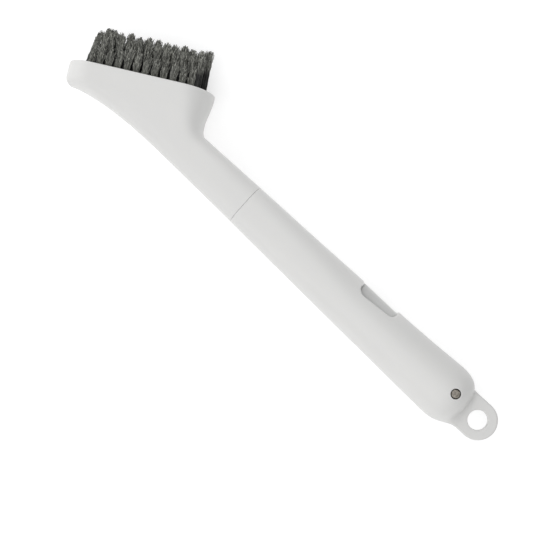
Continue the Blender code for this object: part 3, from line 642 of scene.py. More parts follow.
def headSections():
    # pairs of a top and a low point that the rings run between
    length, pairs = brush["faceLength"], []
    for k in range(head["faceRings"] + 1):
        along = length * (1 - math.cos(math.pi * k / head["faceRings"])) / 2
        drop = edgeInset(min(along, length - along))
        pairs.append((fromFace(along, -drop), undersidePoint(along)))
    for k in range(1, head["heelRings"] + 1):
        t = k / head["heelRings"]
        pairs.append((onBend(heelBend, t), between(undersideBend[-1], neckFoot, t)))
    for k in range(1, head["neckRings"] + 1):
        t = k / head["neckRings"]
        pairs.append((between(heelFoot, (brush["seamU"], brush["seamTop"]), t),
                      between(neckFoot, (brush["seamU"], brush["seamLow"]), t)))
    return pairs


def headRing(top, low):
    side = [(*low, 0.0)]
    for k in range(1, head["sideSteps"] + 1):
        share = (1 - math.cos(math.pi * k / head["sideSteps"])) / 2
        u, v = between(low, top, share)
        side.append((u, v, headHalfWidth(u, v)))
    if toFace(*top)[1] < 1e-6 - brush["rimEdge"]:
        side[-1] = (*top, 0.0)
    return side + [(u, v, -w) for u, v, w in reversed(side)]


def shrinkRing(ring, inset, u):
    # the last ring drawn in a little, for the fine edge at the seam
    drawn = []
    for _, v, w in ring:
        size = math.hypot(v - axisV, w) or 1.0
        drawn.append((u, axisV + (v - axisV) * (1 - inset / size), w * (1 - inset / size)))
    return drawn


def faceOval(inset, low=-math.inf, high=math.inf, steps=40):
    # outline of the bristle face along it and across it, drawn in by an inset
    radius = brush["faceHalfWidth"] - inset
    first, last = math.asin(max(low, -radius) / radius), math.asin(min(high, radius) / radius)
    heelCentre, points = brush["faceLength"] - brush["faceHalfWidth"], []
    for k in range(steps + 1):
        turn = first + (last - first) * k / steps
        points.append((heelCentre + radius * math.cos(turn), radius * math.sin(turn)))
    for k in range(steps + 1):
        turn = last + (first - last) * k / steps
        points.append((brush["faceHalfWidth"] - radius * math.cos(turn), radius * math.sin(turn)))
    return points


def makeHeadShell():
    seam, edge = brush["seamU"], head["seamEdge"]
    rings = [headRing(top, low) for top, low in headSections()]
    rings[-1] = [(seam - edge if abs(u - seam) < 1e-6 else u, v, w) for u, v, w in rings[-1]]
    rings.append(shrinkRing(rings[-1], edge, seam))
    bm, rows = joinRings(rings)
    bm.faces.new(rows[-1])
    bmesh.ops.remove_doubles(bm, verts=bm.verts, dist=2 * mergeReach)
    bmesh.ops.dissolve_degenerate(bm, edges=bm.edges, dist=2 * mergeReach)
    shell = makeObject("headShell", bm)
    # spigot with its snap bead and key
    end, radius, beadHalf = seam + brush["spigotLength"], brush["spigotRadius"], brush["beadLength"] / 2
    bead = end - brush["beadSetback"]
    spigot = turnedAlong("spigot", [
        (seam - head["spigotRoot"], radius), (bead - beadHalf, radius), (bead, radius + brush["beadHeight"]),
        (bead + beadHalf, radius), (end - head["spigotNose"], radius), (end, radius - head["spigotTaper"])])
    keyStart, keyEnd = seam - 1.0, seam + brush["keyLength"]
    keyLow, keyTop = axisV - radius - brush["keyHeight"], axisV - radius / 2 - head["neckCoreRadius"] / 2
    key = box("key", (keyStart, keyLow), (keyEnd, keyTop), brush["keyWidth"] / 2)
    carve(shell, [spigot, key], "UNION")
    # hollow of the neck, and the recess that the bristles stand in
    coreStart, coreRadius = end - head["neckCoreLength"], head["neckCoreRadius"]
    core = turnedAlong("core", [(coreStart, coreRadius * head["coreTaper"]),
                                (coreStart + head["coreNose"], coreRadius), (end + 1.0, coreRadius)], 32)
    levels = [(0.0, lambda a, b: -brush["recessDepth"])] + lip(lambda a, b: 0.0, head["innerLip"])
    levels.append((head["innerLip"], lambda a, b: 4.0))
    recess = flaredPrism("recess", faceOval(brush["rimWall"]), levels, lambda a, b, out: (*fromFace(a, out), b))
    carve(shell, [core, recess])
    smoothShade(shell)
    dress(shell, headPlastic, "brush", "head_shell")


makeHeadShell()


# Handle: an oval section that swells to a domed tail, with the hanging tab, the slot of
# the crevice brush, the finger notches, the pin hole and the socket

handle = {
    "Seam place": brush["seamU"], "Start": brush["seamU"] + 0.07,  # the fine gap at the seam
    "Widest place": handleEnd - 12.0, "Dome length": 12.0, "Dome power": 2.85,
    "Seam top": brush["seamTop"], "Seam low": brush["seamLow"], "Seam half depth": brush["seamHalfDepth"],
    "Tail top": brush["tailTop"] + 0.33, "Tail low": brush["tailLow"],  # full crest beside the slot
    "Tail half depth": brush["faceHalfWidth"],
    "Top sweep": 2.8, "Low sweep": 0.93, "Seam edge": 0.08,
    "Round power": brush["roundPower"], "Neck power": brush["neckPower"], "Power span": brush["powerSpan"],
    "Points round": 112, "Cap rings": 4, "Edge rings": 2, "Straight rings": 120, "Dome rings": 56,
}
cuts = {
    "tabHalfWidth": 7.85, "tabRise": 0.15, "tabThickness": 3.0, "tabEdge": 0.7, "tabHole": 3.95, "holeLip": 0.4,
    "tabBlendLow": 4.2, "tabBlendTop": 1.2, "tabRoot": 2.0,
    "armReach": 53.85, "armThickness": 6.0, "armBack": 8.3, "hubRadius": 5.4, "scoopHeight": 3.0,
    "slotEndGap": 0.35, "slotFloor": 6.0, "openAngle": 110.0, "slotLip": 0.45, "slotMouthEnd": 208.35,
    "notchReach": 54.0, "notchLength": 17.7, "notchDepth": 4.6, "notchRise": 0.9, "notchOverArm": 0.3,
    "notchHeadRadius": 3.4, "notchTailRadius": 2.6, "notchLip": 0.55, "notchInnerLip": 0.25, "notchLeast": 1.2,
    "boreLip": 0.1, "handleCoreRadius": 4.2, "handleCoreLength": 22.0, "coreShoulder": 1.5, "coreNose": 2.5,
    "above": 3.0, "mouthSink": 0.4, "mouthInset": 0.3,  # how the cutters stand out of the crest and end in it
    "notchStep": 0.6, "mouthStep": 0.7,
}
slotStart = pinU - cuts["armReach"] - cuts["slotEndGap"]


def handleTree(sizes, finish):
    tree, size = newTree("handleBody", sizes)
    rings = plus(tree, plus(tree, size["Cap rings"], size["Edge rings"]),
                 plus(tree, size["Straight rings"], size["Dome rings"]))
    sheet = addNode(tree, "GeometryNodeMeshGrid", {
        "Size X": rings, "Size Y": 1.0, "Vertices X": plus(tree, rings, 1.0),
        "Vertices Y": plus(tree, size["Points round"], 1.0)})
    spot = meshPlace(tree)
    ring = timesPlus(tree, rings, 0.5, spot[0])
    turn = times(tree, plus(tree, spot[1], 0.5), 2 * math.pi)
    # how far each ring is through the end cap, its fine edge, the straight and the dome
    edgeFirst = size["Cap rings"]
    straightFirst = plus(tree, edgeFirst, size["Edge rings"])
    domeFirst = plus(tree, straightFirst, size["Straight rings"])
    capShare = spread(tree, ring, 0.0, edgeFirst, 0.0, 1.0)
    edgeShare = spread(tree, ring, edgeFirst, straightFirst, 0.0, 1.0)
    straightShare = spread(tree, ring, straightFirst, domeFirst, 0.0, 1.0)
    domeShare = calc(tree, "SINE", spread(tree, ring, domeFirst, rings, 0.0, math.pi / 2))
    # station along the handle
    edgeRun = times(tree, edgeShare, size["Seam edge"])
    straight = minus(tree, size["Widest place"], size["Start"])
    straight = times(tree, minus(tree, straight, size["Seam edge"]), straightShare)
    station = plus(tree, plus(tree, size["Start"], edgeRun), straight)
    share = calc(tree, "DIVIDE", minus(tree, station, size["Seam place"]),
                 minus(tree, size["Widest place"], size["Seam place"]))
    station = timesPlus(tree, size["Dome length"], domeShare, station)

    def sweep(start, end, power):
        grown = calc(tree, "POWER", share, power)
        return timesPlus(tree, minus(tree, end, start), grown, start)

    # top, low side and depth of the section there
    top = sweep(size["Seam top"], size["Tail top"], size["Top sweep"])
    low = sweep(size["Seam low"], size["Tail low"], size["Low sweep"])
    depth = sweep(size["Seam half depth"], size["Tail half depth"], 1.0)
    domed = minus(tree, 1.0, calc(tree, "POWER", domeShare, size["Dome power"]))
    domed = calc(tree, "MAXIMUM", domed, 0.0)
    domed = calc(tree, "POWER", domed, calc(tree, "DIVIDE", 1.0, size["Dome power"]))
    rest = minus(tree, 1.0, edgeShare)
    bow = calc(tree, "SQRT", minus(tree, 1.0, times(tree, rest, rest)))
    inset = times(tree, size["Seam edge"], minus(tree, 1.0, bow))
    centre = times(tree, plus(tree, top, low), 0.5)
    height = times(tree, minus(tree, top, low), 0.5)
    # squarer near the neck, round towards the tail
    power = spread(tree, share, 0.0, size["Power span"], size["Neck power"], size["Round power"], "SMOOTHSTEP")

    def drawn(half):
        return times(tree, times(tree, minus(tree, half, inset), capShare), domed)

    def squared(wave):
        return times(tree, calc(tree, "SIGN", wave), calc(
            tree, "POWER", calc(tree, "ABSOLUTE", wave), calc(tree, "DIVIDE", 2.0, power)))

    rise = timesPlus(tree, drawn(height), squared(calc(tree, "COSINE", turn)), centre)
    across = times(tree, drawn(depth), squared(calc(tree, "SINE", turn)))
    shaped = addNode(tree, "GeometryNodeSetPosition", {
        "Geometry": sheet.outputs["Mesh"], "Position": vector(tree, station, rise, across)})
    moved = toWorld(tree, shaped.outputs[0], place(0, 0, 0))
    joined = addNode(tree, "GeometryNodeMergeByDistance", {"Geometry": moved, "Distance": mergeReach})
    closeTree(tree, joined.outputs[0], finish)
    return tree


def handleSection(u):
    # centre, half height and half depth of the handle at a station
    seam, widest = handle["Seam place"], handle["Widest place"]
    share = min((u - seam) / (widest - seam), 1.0)
    top = blend(handle["Seam top"], handle["Tail top"], share ** handle["Top sweep"])
    low = blend(handle["Seam low"], handle["Tail low"], share ** handle["Low sweep"])
    depth = blend(handle["Seam half depth"], handle["Tail half depth"], share)
    scale = 1.0
    if u > widest:
        power = handle["Dome power"]
        scale = max(1 - ((u - widest) / handle["Dome length"]) ** power, 0.0) ** (1 / power)
    return (top + low) / 2, (top - low) / 2 * scale, depth * scale


def sectionPower(u):
    share = (u - handle["Seam place"]) / (handle["Widest place"] - handle["Seam place"])
    return blend(handle["Neck power"], handle["Round power"], ease(share / handle["Power span"]))


def sideSurface(u, v):
    centre, height, depth = handleSection(u)
    return depth * rounding(1 - abs(v - centre) / max(height, 1e-6), sectionPower(u))


def topSurface(u, w):
    centre, height, depth = handleSection(u)
    return centre + height * rounding(1 - abs(w) / max(depth, 1e-6), sectionPower(u))


def evenly(outline, step):
    # the same outline with long stretches divided
    points = []
    for a, b in zip(outline, outline[1:] + outline[:1]):
        count = max(int(math.dist(a, b) / step), 1)
        points += [between(a, b, k / count) for k in range(count)]
    return points


tabV = tailMiddleV + cuts["tabRise"]
tabCentre = handleEnd + brush["tabReach"] - cuts["tabHalfWidth"]


def makeTab():
    # rounded plate made of ovals inside each other, so that its middle can bend into the body
    radius, half, edge = cuts["tabHalfWidth"], cuts["tabThickness"] / 2, cuts["tabEdge"]
    rootCentre, flatRings, straightSteps = pinU + cuts["tabRoot"], 14, 16
    run = tabCentre - rootCentre
    profile = [(radius - (radius - edge) * k / flatRings, half) for k in range(flatRings + 1)]
    profile += [(drop, half - inset) for inset, drop in quarter(edge, 6)[1:]]
    profile += [(inset, -w) for inset, w in reversed(profile)]
    rings = []
    for inset, w in profile:
        r = radius - inset
        ring = arc((tabCentre, tabV), r, -90, 90, 36)
        ring += [(tabCentre - run * k / straightSteps, tabV + r) for k in range(1, straightSteps)]
        ring += arc((rootCentre, tabV), r, 90, 270, 24)
        ring += [(rootCentre + run * k / straightSteps, tabV - r) for k in range(1, straightSteps)]
        rings.append([(u, v, w) for u, v in ring])
    return loft("tab", rings, closeEnds=False)


def tailShape(u, v, w):
    # signed distance, nearly, to the dome and tab run together with a fillet
    widest, length, power = handle["Widest place"], handle["Dome length"], handle["Dome power"]
    height, depth = (brush["tailTop"] - brush["tailLow"]) / 2, handle["Tail half depth"]
    ring = math.hypot((v - tailMiddleV) / height, w / depth)
    dome = ((max(u - widest, 0.0) / length) ** power + ring ** power) ** (1 / power) * length - length
    flat = abs(v - tabV) if u < tabCentre else math.hypot(u - tabCentre, v - tabV)
    edge = cuts["tabEdge"]
    a, b = flat - cuts["tabHalfWidth"] + edge, abs(w) - cuts["tabThickness"] / 2 + edge
    tab = min(max(a, b), 0.0) + math.hypot(max(a, 0.0), max(b, 0.0)) - edge
    share = clamp((v - tabV) / cuts["tabHalfWidth"] * 0.5 + 0.5)
    reach = blend(cuts["tabBlendLow"], cuts["tabBlendTop"], share ** 2)
    near = max(reach - abs(dome - tab), 0.0)
    return min(dome, tab) - near * near / (4 * reach), near


def blendTab(piece):
    # pull the corner between dome and tab out to a fillet
    small, clearOfDome, clearOfMiddle, rounds = 0.02, 3.0, 0.3, 6
    origin = place(0, 0, 0)
    for vert in piece.data.vertices:
        u, v, w = (vert.co - origin) / mm
        if u < handle["Widest place"] + clearOfDome or abs(w) < clearOfMiddle or tailShape(u, v, w)[1] <= 0:
            continue
        for _ in range(rounds):
            value = tailShape(u, v, w)[0]
            steps = ((u + small, v, w), (u, v + small, w), (u, v, w + small))
            slope = [(tailShape(*step)[0] - value) / small for step in steps]
            size = sum(s * s for s in slope) or 1.0
            u, v, w = (p - value * s / size for p, s in zip((u, v, w), slope))
        vert.co = place(u, v, w)


def notchOutline():
    start = pinU - cuts["notchReach"]
    end, mouth = start + cuts["notchLength"], pinV + cuts["armBack"] + cuts["notchOverArm"]
    floor, above = mouth - cuts["notchDepth"], brush["tailTop"] + cuts["above"]
    head, tail = cuts["notchHeadRadius"], cuts["notchTailRadius"]
    points = [(end, above), (start, above)]
    points += arc((start + head, floor + head), head, 180, 270, 20)
    points += arc((end - tail, floor + cuts["notchRise"] + tail), tail, 275, 360, 16)
    return evenly(points, cuts["notchStep"])


def slotOutline():
    # slot in u and v, with the stop face for the opened arm
    radius, floor = cuts["hubRadius"] + brush["fit"], pinV - cuts["slotFloor"]
    rise = brush["tailTop"] + cuts["above"] - pinV
    turn, offset = math.radians(cuts["openAngle"]), cuts["scoopHeight"] + brush["fit"]
    meet = 90 - cuts["openAngle"] + math.degrees(math.acos(offset / radius))
    run = (rise - offset * math.cos(turn)) / math.sin(turn)
    stop = pinU + offset * math.sin(turn) - run * math.cos(turn)
    points = [(slotStart, floor)] + arc((pinU, pinV), radius, -90, meet, 32)
    return points + [(stop, pinV + rise), (slotStart, pinV + rise)]


def bothSides(name, outline, levels):
    # cutters that sink into the handle from its two sides
    return [flaredPrism(name, outline, levels, lambda a, b, level, side=side: (a, b, side * level))
            for side in (1, -1)]


def handleCutters():
    half, fit, middle = cuts["armThickness"] / 2 + brush["fit"], brush["fit"], -0.2
    outside, above = brush["faceHalfWidth"] + 2.0, brush["tailTop"] + cuts["above"]
    tools = [prism("slot", slotOutline(), -half, half)]
    # rounded lip all round the mouth of the slot
    radius, mouthEnd = cuts["slotLip"], cuts["slotMouthEnd"]
    mouth = [(slotStart, -half), (mouthEnd, -half), (mouthEnd, half), (slotStart, half)]
    levels = [(-cuts["mouthInset"], lambda a, b: topSurface(a, b) - radius - cuts["mouthSink"])]
    levels += lip(topSurface, radius) + [(radius, lambda a, b: above)]
    mouth = evenly(mouth, cuts["mouthStep"])
    tools.append(flaredPrism("slotMouth", mouth, levels, lambda a, b, level: (a, level, b)))
    # finger notch on both sides, its outer and inner edges rounded
    inner = cuts["notchInnerLip"]
    levels = [(inner, lambda a, b: middle), (inner, lambda a, b: half)]
    levels += [(drop, lambda a, b, w=half + inset: w) for inset, drop in quarter(inner, 4)[1:]]
    levels += lip(lambda a, b: max(sideSurface(a, b), half + cuts["notchLeast"]), cuts["notchLip"])
    levels.append((cuts["notchLip"], lambda a, b: outside))
    tools += bothSides("notch", notchOutline(), levels)
    # pin hole
    sides = 48
    bore = arc((pinU, pinV), brush["pinRadius"] + fit, 0, 360 - 360 / sides, sides - 1)
    levels = [(0.0, lambda a, b: middle)] + lip(sideSurface, cuts["boreLip"])
    levels.append((cuts["boreLip"], lambda a, b: outside))
    tools += bothSides("bore", bore, levels)
    # hole of the hanging tab
    plate, hole, lipSize = cuts["tabThickness"] / 2, cuts["tabHole"], cuts["holeLip"]
    tools.append(lippedBore("tabHole", tabCentre, tabV, plate, hole, lipSize, 5, 72))
    # socket for the spigot, with its groove and keyway
    seam, radius = brush["seamU"], brush["spigotRadius"] + fit
    mouth, end = seam - 1.0, seam + brush["spigotLength"]
    bead, reach = end - brush["beadSetback"], brush["beadLength"] / 2 + fit
    core, coreRadius = end + cuts["handleCoreLength"], cuts["handleCoreRadius"]
    tools.append(turnedAlong("socket", [
        (mouth, radius), (bead - reach, radius), (bead, radius + brush["beadHeight"]), (bead + reach, radius),
        (end + fit, radius), (end + fit + cuts["coreShoulder"], coreRadius),
        (core - cuts["coreNose"], coreRadius * 0.8), (core, coreRadius * 0.4)]))
    low, keyEnd = axisV - radius - brush["keyHeight"], seam + brush["keyLength"] + fit
    tools.append(box("keyway", (mouth, low), (keyEnd, axisV), brush["keyWidth"] / 2 + fit))
    return tools


def makeHandleShell():
    body = addObject("handleShell", bpy.data.meshes.new("handleShell"))
    runTree(body, handleTree(handle, handlePlastic), handle)
    turnOutwards(body)
    carve(body, [makeTab()], "UNION")
    blendTab(body)
    carve(body, handleCutters())
    smoothShade(body)
    dress(body, handlePlastic, "brush", "handle_body")


makeHandleShell()


# Pivot pin: cut steel bar with a softened rim and a shallow dish in each end

pin = {
    "sunk": 0.5, "rim": 0.3, "rimDrop": 0.03,
    "dish": 0.12, "dishRadius": 1.15, "dishMiddle": 0.55, "dishMiddleShare": 0.85,
}


def makePin():
    radius, rim, dish = brush["pinRadius"], pin["rim"], pin["dish"]
    end = sideSurface(pinU, pinV) - pin["sunk"]
    profile = [(end - dish, 0.0), (end - dish * pin["dishMiddleShare"], pin["dishRadius"] * pin["dishMiddle"])]
    profile.append((end - pin["rimDrop"], pin["dishRadius"]))
    profile += [(end - inset, radius - drop) for inset, drop in quarter(rim, 6)]
    profile = profile + [(end * 0.5, radius), (-end * 0.5, radius)] + [(-w, r) for w, r in reversed(profile)]
    bar = turnedAcross("pivotPin", pinU, pinV, profile)
    smoothShade(bar, 40)
    dress(bar, pinSteel, "brush", "pivot_pin")


makePin()


# Crevice arm, folded into the slot: rounded back and tip, scooped root and round hub

arm = {
    "bodyHeight": 5.6, "tipRadius": 1.4, "backEdge": 1.3, "smallEdge": 0.35,
    "scoopStart": 15.6, "footReach": 18.5, "proud": 0.37, "proudFade": 0.8,
    "tipDrop": 0.2, "tipCorner": 0.4, "tipFade": 3.5,
    "ledgeReach": 36.9, "ledgeDrop": 0.8, "ledgeRun": 0.7, "ledgeStep": 0.1, "outlineStep": 0.8,
    "softShare": 0.9, "softPast": 0.3, "paintedEdgeLightUnder": 0.2, "paintedEdgeLightShare": 0.6,
    "boreLip": 0.3, "stripWidth": 3.6, "stripHeight": 2.2,
}
creviceField = {"pitch": 3.4, "tipMargin": 3.2, "endMargin": 1.6, "rootMargin": 19.5, "rowOffset": 0.9}
creviceRun = cuts["armReach"] - creviceField["tipMargin"] - creviceField["rootMargin"]
creviceCount = int(creviceRun / creviceField["pitch"])
armTip, armLedge, armScoop = pinU - cuts["armReach"], pinU - arm["ledgeReach"], pinU - arm["scoopStart"]
stripStart = armTip + creviceField["tipMargin"] - creviceField["endMargin"]
stripEnd = stripStart + (creviceCount - 0.5) * creviceField["pitch"] + 2 * creviceField["endMargin"]
footV = pinV + cuts["armBack"] - arm["bodyHeight"]


def armBack(u):
    # a little proud of the lips of the slot, with a dip that ends in the finger ledge
    share = clamp((u - armLedge) / (armScoop - armLedge))
    back = topSurface(u, cuts["armThickness"] / 2 + brush["fit"] + cuts["slotLip"])
    back += arm["proud"] * (1 - arm["proudFade"] * share)
    if u > armLedge:
        return back - arm["ledgeDrop"] * (1 - ease((u - armLedge) / arm["ledgeRun"]))
    return back - arm["tipDrop"] - (arm["ledgeDrop"] - arm["tipDrop"]) * (u - armTip) / (armLedge - armTip)


def armOutline():
    radius, corner = arm["tipRadius"], arm["tipCorner"]
    meet = math.degrees(math.asin(cuts["scoopHeight"] / cuts["hubRadius"]))
    points = arc((armTip + radius, footV + radius), radius, 270, 180, 10)
    points += arc((armTip + corner, armBack(armTip + corner) - corner), corner, 180, 90, 8)
    stations = [armLedge + arm["ledgeStep"] * k for k in range(-4, 14)]
    stations += [armLedge + (armScoop - armLedge) * k / 10 for k in range(1, 10)]
    points += [(u, armBack(u)) for u in stations]
    drop = armBack(armScoop) - pinV - cuts["scoopHeight"]
    points += arc((armScoop + drop, armBack(armScoop)), drop, 180, 270, 18)
    points += arc((pinU, pinV), cuts["hubRadius"], 180 - meet, -100, 48)
    points += [(pinU - arm["footReach"], footV)]
    return evenly(points, arm["outlineStep"])


def makeCreviceArm():
    outline = armOutline()
    half, fit, fade = cuts["armThickness"] / 2, brush["fit"], arm["tipFade"]
    edges, inwards = [], []
    for (u, v), (nu, nv) in zip(outline, outwards(outline)):
        soft = v > footV + arm["tipRadius"] * arm["softShare"] and u < armScoop + arm["softPast"]
        edges.append(arm["backEdge"] if soft else arm["smallEdge"])
        # round the corner of the tip both ways at once, so that the wide edge doesn't fold over
        mitred = (max(1 - (u - armTip) / fade, 0.0), -max(1 - (armBack(u) - v) / fade, 0.0))
        inwards.append(mitred if soft else (-nu, -nv))
    for _ in range(3):  # even out the change from the wide edge to the narrow one
        edges = [(edges[k - 1] + 2 * edges[k] + edges[(k + 1) % len(edges)]) / 4 for k in range(len(edges))]
    steps = quarter(1.0, 6)
    rings = []
    for side, insets in ((-1, reversed(steps)), (1, steps)):
        for inset, drop in insets:
            rings.append([(u + du * (edge * inset), v + dv * (edge * inset), side * (half - edge * drop))
                          for (u, v), (du, dv), edge in zip(outline, inwards, edges)])
    piece = loft("creviceArm", rings)
    bore = lippedBore("bore", pinU, pinV, half, brush["pinRadius"] + fit, arm["boreLip"], 4, 56)
    low, high = (stripStart - fit, footV - 1.0), (stripEnd + fit, footV + arm["stripHeight"] + fit)
    carve(piece, [bore, box("groove", low, high, arm["stripWidth"] / 2 + fit)])
    # painted highlight: a lighter band on the rounded back, where its edge would catch the light
    paintedEdgeLight, origin = piece.data.attributes.new("paintedEdgeLight", "FLOAT", "POINT"), place(0, 0, 0)
    for vertex, share in zip(piece.data.vertices, paintedEdgeLight.data):
        u, v, w = (vertex.co - origin) / mm
        if u < armScoop and v > armBack(u) - arm["backEdge"] - arm["paintedEdgeLightUnder"]:
            share.value = min((half - abs(w)) / (arm["paintedEdgeLightShare"] * arm["backEdge"]), 1.0)
    smoothShade(piece)
    dress(piece, armShadedPlastic, "crevice_brush", "crevice_arm")


makeCreviceArm()


# Bristles: tufts of crimped filament planted in strips of backing

tufts = {
    "Tuft pitch": brush["tuftPitch"], "Filaments": 66, "Root radius": 1.14, "Tip spread": 0.5,
    "Filament radius": 0.155, "Stray": 0.9, "Crimp": 0.14, "Tuft dome": 1.7,
    "Scatter": 1.2, "Tuft scatter": 1.0, "Tuft lean": 0.4, "Painted shade reach": 0.7, "Side power": 1.0,
    "Toe lean": 13.0, "Toe lean length": 9.0, "Heel lean": 2.5, "Heel lean length": 20.0, "Side lean": 4.0,
    "Ridge": brush["ridge"] - 0.1, "Crown": 0.135, "Root depth": 1.5,
    "Toe trim place": 7.9, "Toe trim height": 11.8, "Toe trim slope": 2.0,
}
# the straighter outer rows, with a shorter reach of painted root shade
outerTufts = {"Painted shade reach": 0.3, "Side power": 2.2, "Stray": 0.55, "Crimp": 0.1, "Tuft lean": 0.25}
creviceTufts = {
    "Tufts": creviceCount, "Pitch": creviceField["pitch"], "First": stripStart + creviceField["endMargin"],
    "Row offset": creviceField["rowOffset"], "Filaments": 30, "Root radius": 0.55, "Tip spread": 0.32,
    "Filament radius": 0.085, "Length": 7.4, "Scatter": 0.5, "Stray": 0.5, "Crimp": 0.07,
    "Root depth": 0.6, "Painted shade reach": 0.3, "Side power": 1.0, "Seed": 7,
}
strand = {
    "pieces": 14, "taper": -0.12, "domePower": 2.6, "creviceSpreadPower": 1.8, "spreadPower": 2.6,
    "waves": 1.7, "waveShift": 40.0, "curlShift": 65.0, "twist": 25.0,
    "swell": (0.3, 0.75, 0.15, 1.0), "litFrom": 0.72,
}
goldenTurn = 2.39996
bedRecess, bedChamfer, bedEdge = 1.0, 0.2, 30


def chance(tree, size, low, high, draw=0.0, item=None):
    # random value, another for each number of the draw
    inputs = {"Min": low, "Max": high, "Seed": plus(tree, size["Seed"], draw)}
    if item is not None:
        inputs["ID"] = item
    return result(addNode(tree, "FunctionNodeRandomValue", inputs, data_type="FLOAT"))


def keep(tree, geometry, name, value, kind="FLOAT_VECTOR"):
    return addNode(tree, "GeometryNodeStoreNamedAttribute", {
        "Geometry": geometry, "Name": name, "Value": value}, data_type=kind, domain="POINT").outputs[0]


def recall(tree, name, kind="FLOAT_VECTOR"):
    return result(addNode(tree, "GeometryNodeInputNamedAttribute", {"Name": name}, data_type=kind))


def packTufts(tree, size, rows):
    # a point for each filament, packed evenly round the middle of its tuft as seeds are in a sunflower
    number = times(tree, times(tree, size["Tufts"], rows), size["Filaments"])
    points = addNode(tree, "GeometryNodePoints", {"Count": number}).outputs[0]
    index = addNode(tree, "GeometryNodeInputIndex").outputs[0]
    tuft = calc(tree, "FLOOR", calc(tree, "DIVIDE", plus(tree, index, 0.5), size["Filaments"]))
    within = minus(tree, index, times(tree, tuft, size["Filaments"]))
    away = calc(tree, "SQRT", calc(tree, "DIVIDE", plus(tree, within, 0.5), size["Filaments"]))
    turn = timesPlus(tree, within, goldenTurn, chance(tree, size, 0.0, 0.6))
    side = times(tree, away, calc(tree, "SINE", turn))
    front = times(tree, away, calc(tree, "COSINE", turn))
    return points, tuft, away, side, front


def growStrands(tree, size, points, toneDraw, spreadPower, **ways):
    # turns points and their root, rise and fan into closed three-sided filaments
    for name, value in ways.items():
        points = keep(tree, points, name, value)
    points = keep(tree, points, "tone", chance(tree, size, 0.0, 1.0, toneDraw), "FLOAT")
    rod = addNode(tree, "GeometryNodeMeshCylinder", {
        "Vertices": 3, "Side Segments": strand["pieces"], "Fill Segments": 1, "Radius": 1.0, "Depth": 1.0,
    }, fill_type="NGON")
    rods = addNode(tree, "GeometryNodeInstanceOnPoints", {"Points": points, "Instance": rod.outputs["Mesh"]})
    plain = addNode(tree, "GeometryNodeRealizeInstances", {"Geometry": rods.outputs[0]}).outputs[0]
    spot, tone, rise = meshPlace(tree), recall(tree, "tone", "FLOAT"), recall(tree, "rise")
    share = plus(tree, spot[2], 0.5)
    line = vectorCalc(tree, "ADD", recall(tree, "root"), vectorCalc(tree, "SCALE", rise, share))
    fan = vectorCalc(tree, "SCALE", recall(tree, "fan"), calc(tree, "POWER", share, spreadPower))
    line = vectorCalc(tree, "ADD", line, fan)
    # crimp that grows from the root up
    run = times(tree, times(tree, lengthOf(tree, rise), share), strand["waves"])
    swell = times(tree, spread(tree, share, *strand["swell"], "SMOOTHSTEP"), size["Crimp"])

    def wave(shift):
        return times(tree, calc(tree, "SINE", timesPlus(tree, tone, shift, run)), swell)

    crimp = vector(tree, wave(strand["waveShift"]), 0.0, wave(strand["curlShift"]))
    line = vectorCalc(tree, "ADD", line, crimp)
    thick = times(tree, size["Filament radius"], timesPlus(tree, share, strand["taper"], 1.0))
    twist = addNode(tree, "ShaderNodeVectorRotate", {
        "Vector": vector(tree, spot[0], 0.0, spot[1]), "Axis": (0.0, 1.0, 0.0),
        "Angle": times(tree, tone, strand["twist"])}).outputs[0]
    line = vectorCalc(tree, "ADD", line, vectorCalc(tree, "SCALE", twist, thick))
    # what the nylon's tone follows: painted root shade, reaching further up the inner rows where the tufts shade
    # each other, and the share along the filament
    lit = calc(tree, "DIVIDE", share, size["Painted shade reach"])
    lit = spread(tree, lit, strand["litFrom"], 1.0, 0.0, 1.0, "SMOOTHSTEP")
    reached = keep(tree, plain, "reach", calc(tree, "POWER", share, size["Side power"]), "FLOAT")
    reached = keep(tree, reached, "lit", lit, "FLOAT")
    shaped = addNode(tree, "GeometryNodeSetPosition", {"Geometry": reached, "Position": line}).outputs[0]
    for name in ways:
        shaped = addNode(tree, "GeometryNodeRemoveAttribute", {"Geometry": shaped, "Name": name}).outputs[0]
    return shaped


def plantStrands(tree, size, grown, finish, start, turn=0.0):
    # set the filaments in the strip that the tree is run on
    both = addNode(tree, "GeometryNodeJoinGeometry")
    tree.links.new(size["Geometry"], both.inputs[0])
    tree.links.new(toWorld(tree, grown, start, turn), both.inputs[0])
    closeTree(tree, both.outputs[0], finish)
    return tree


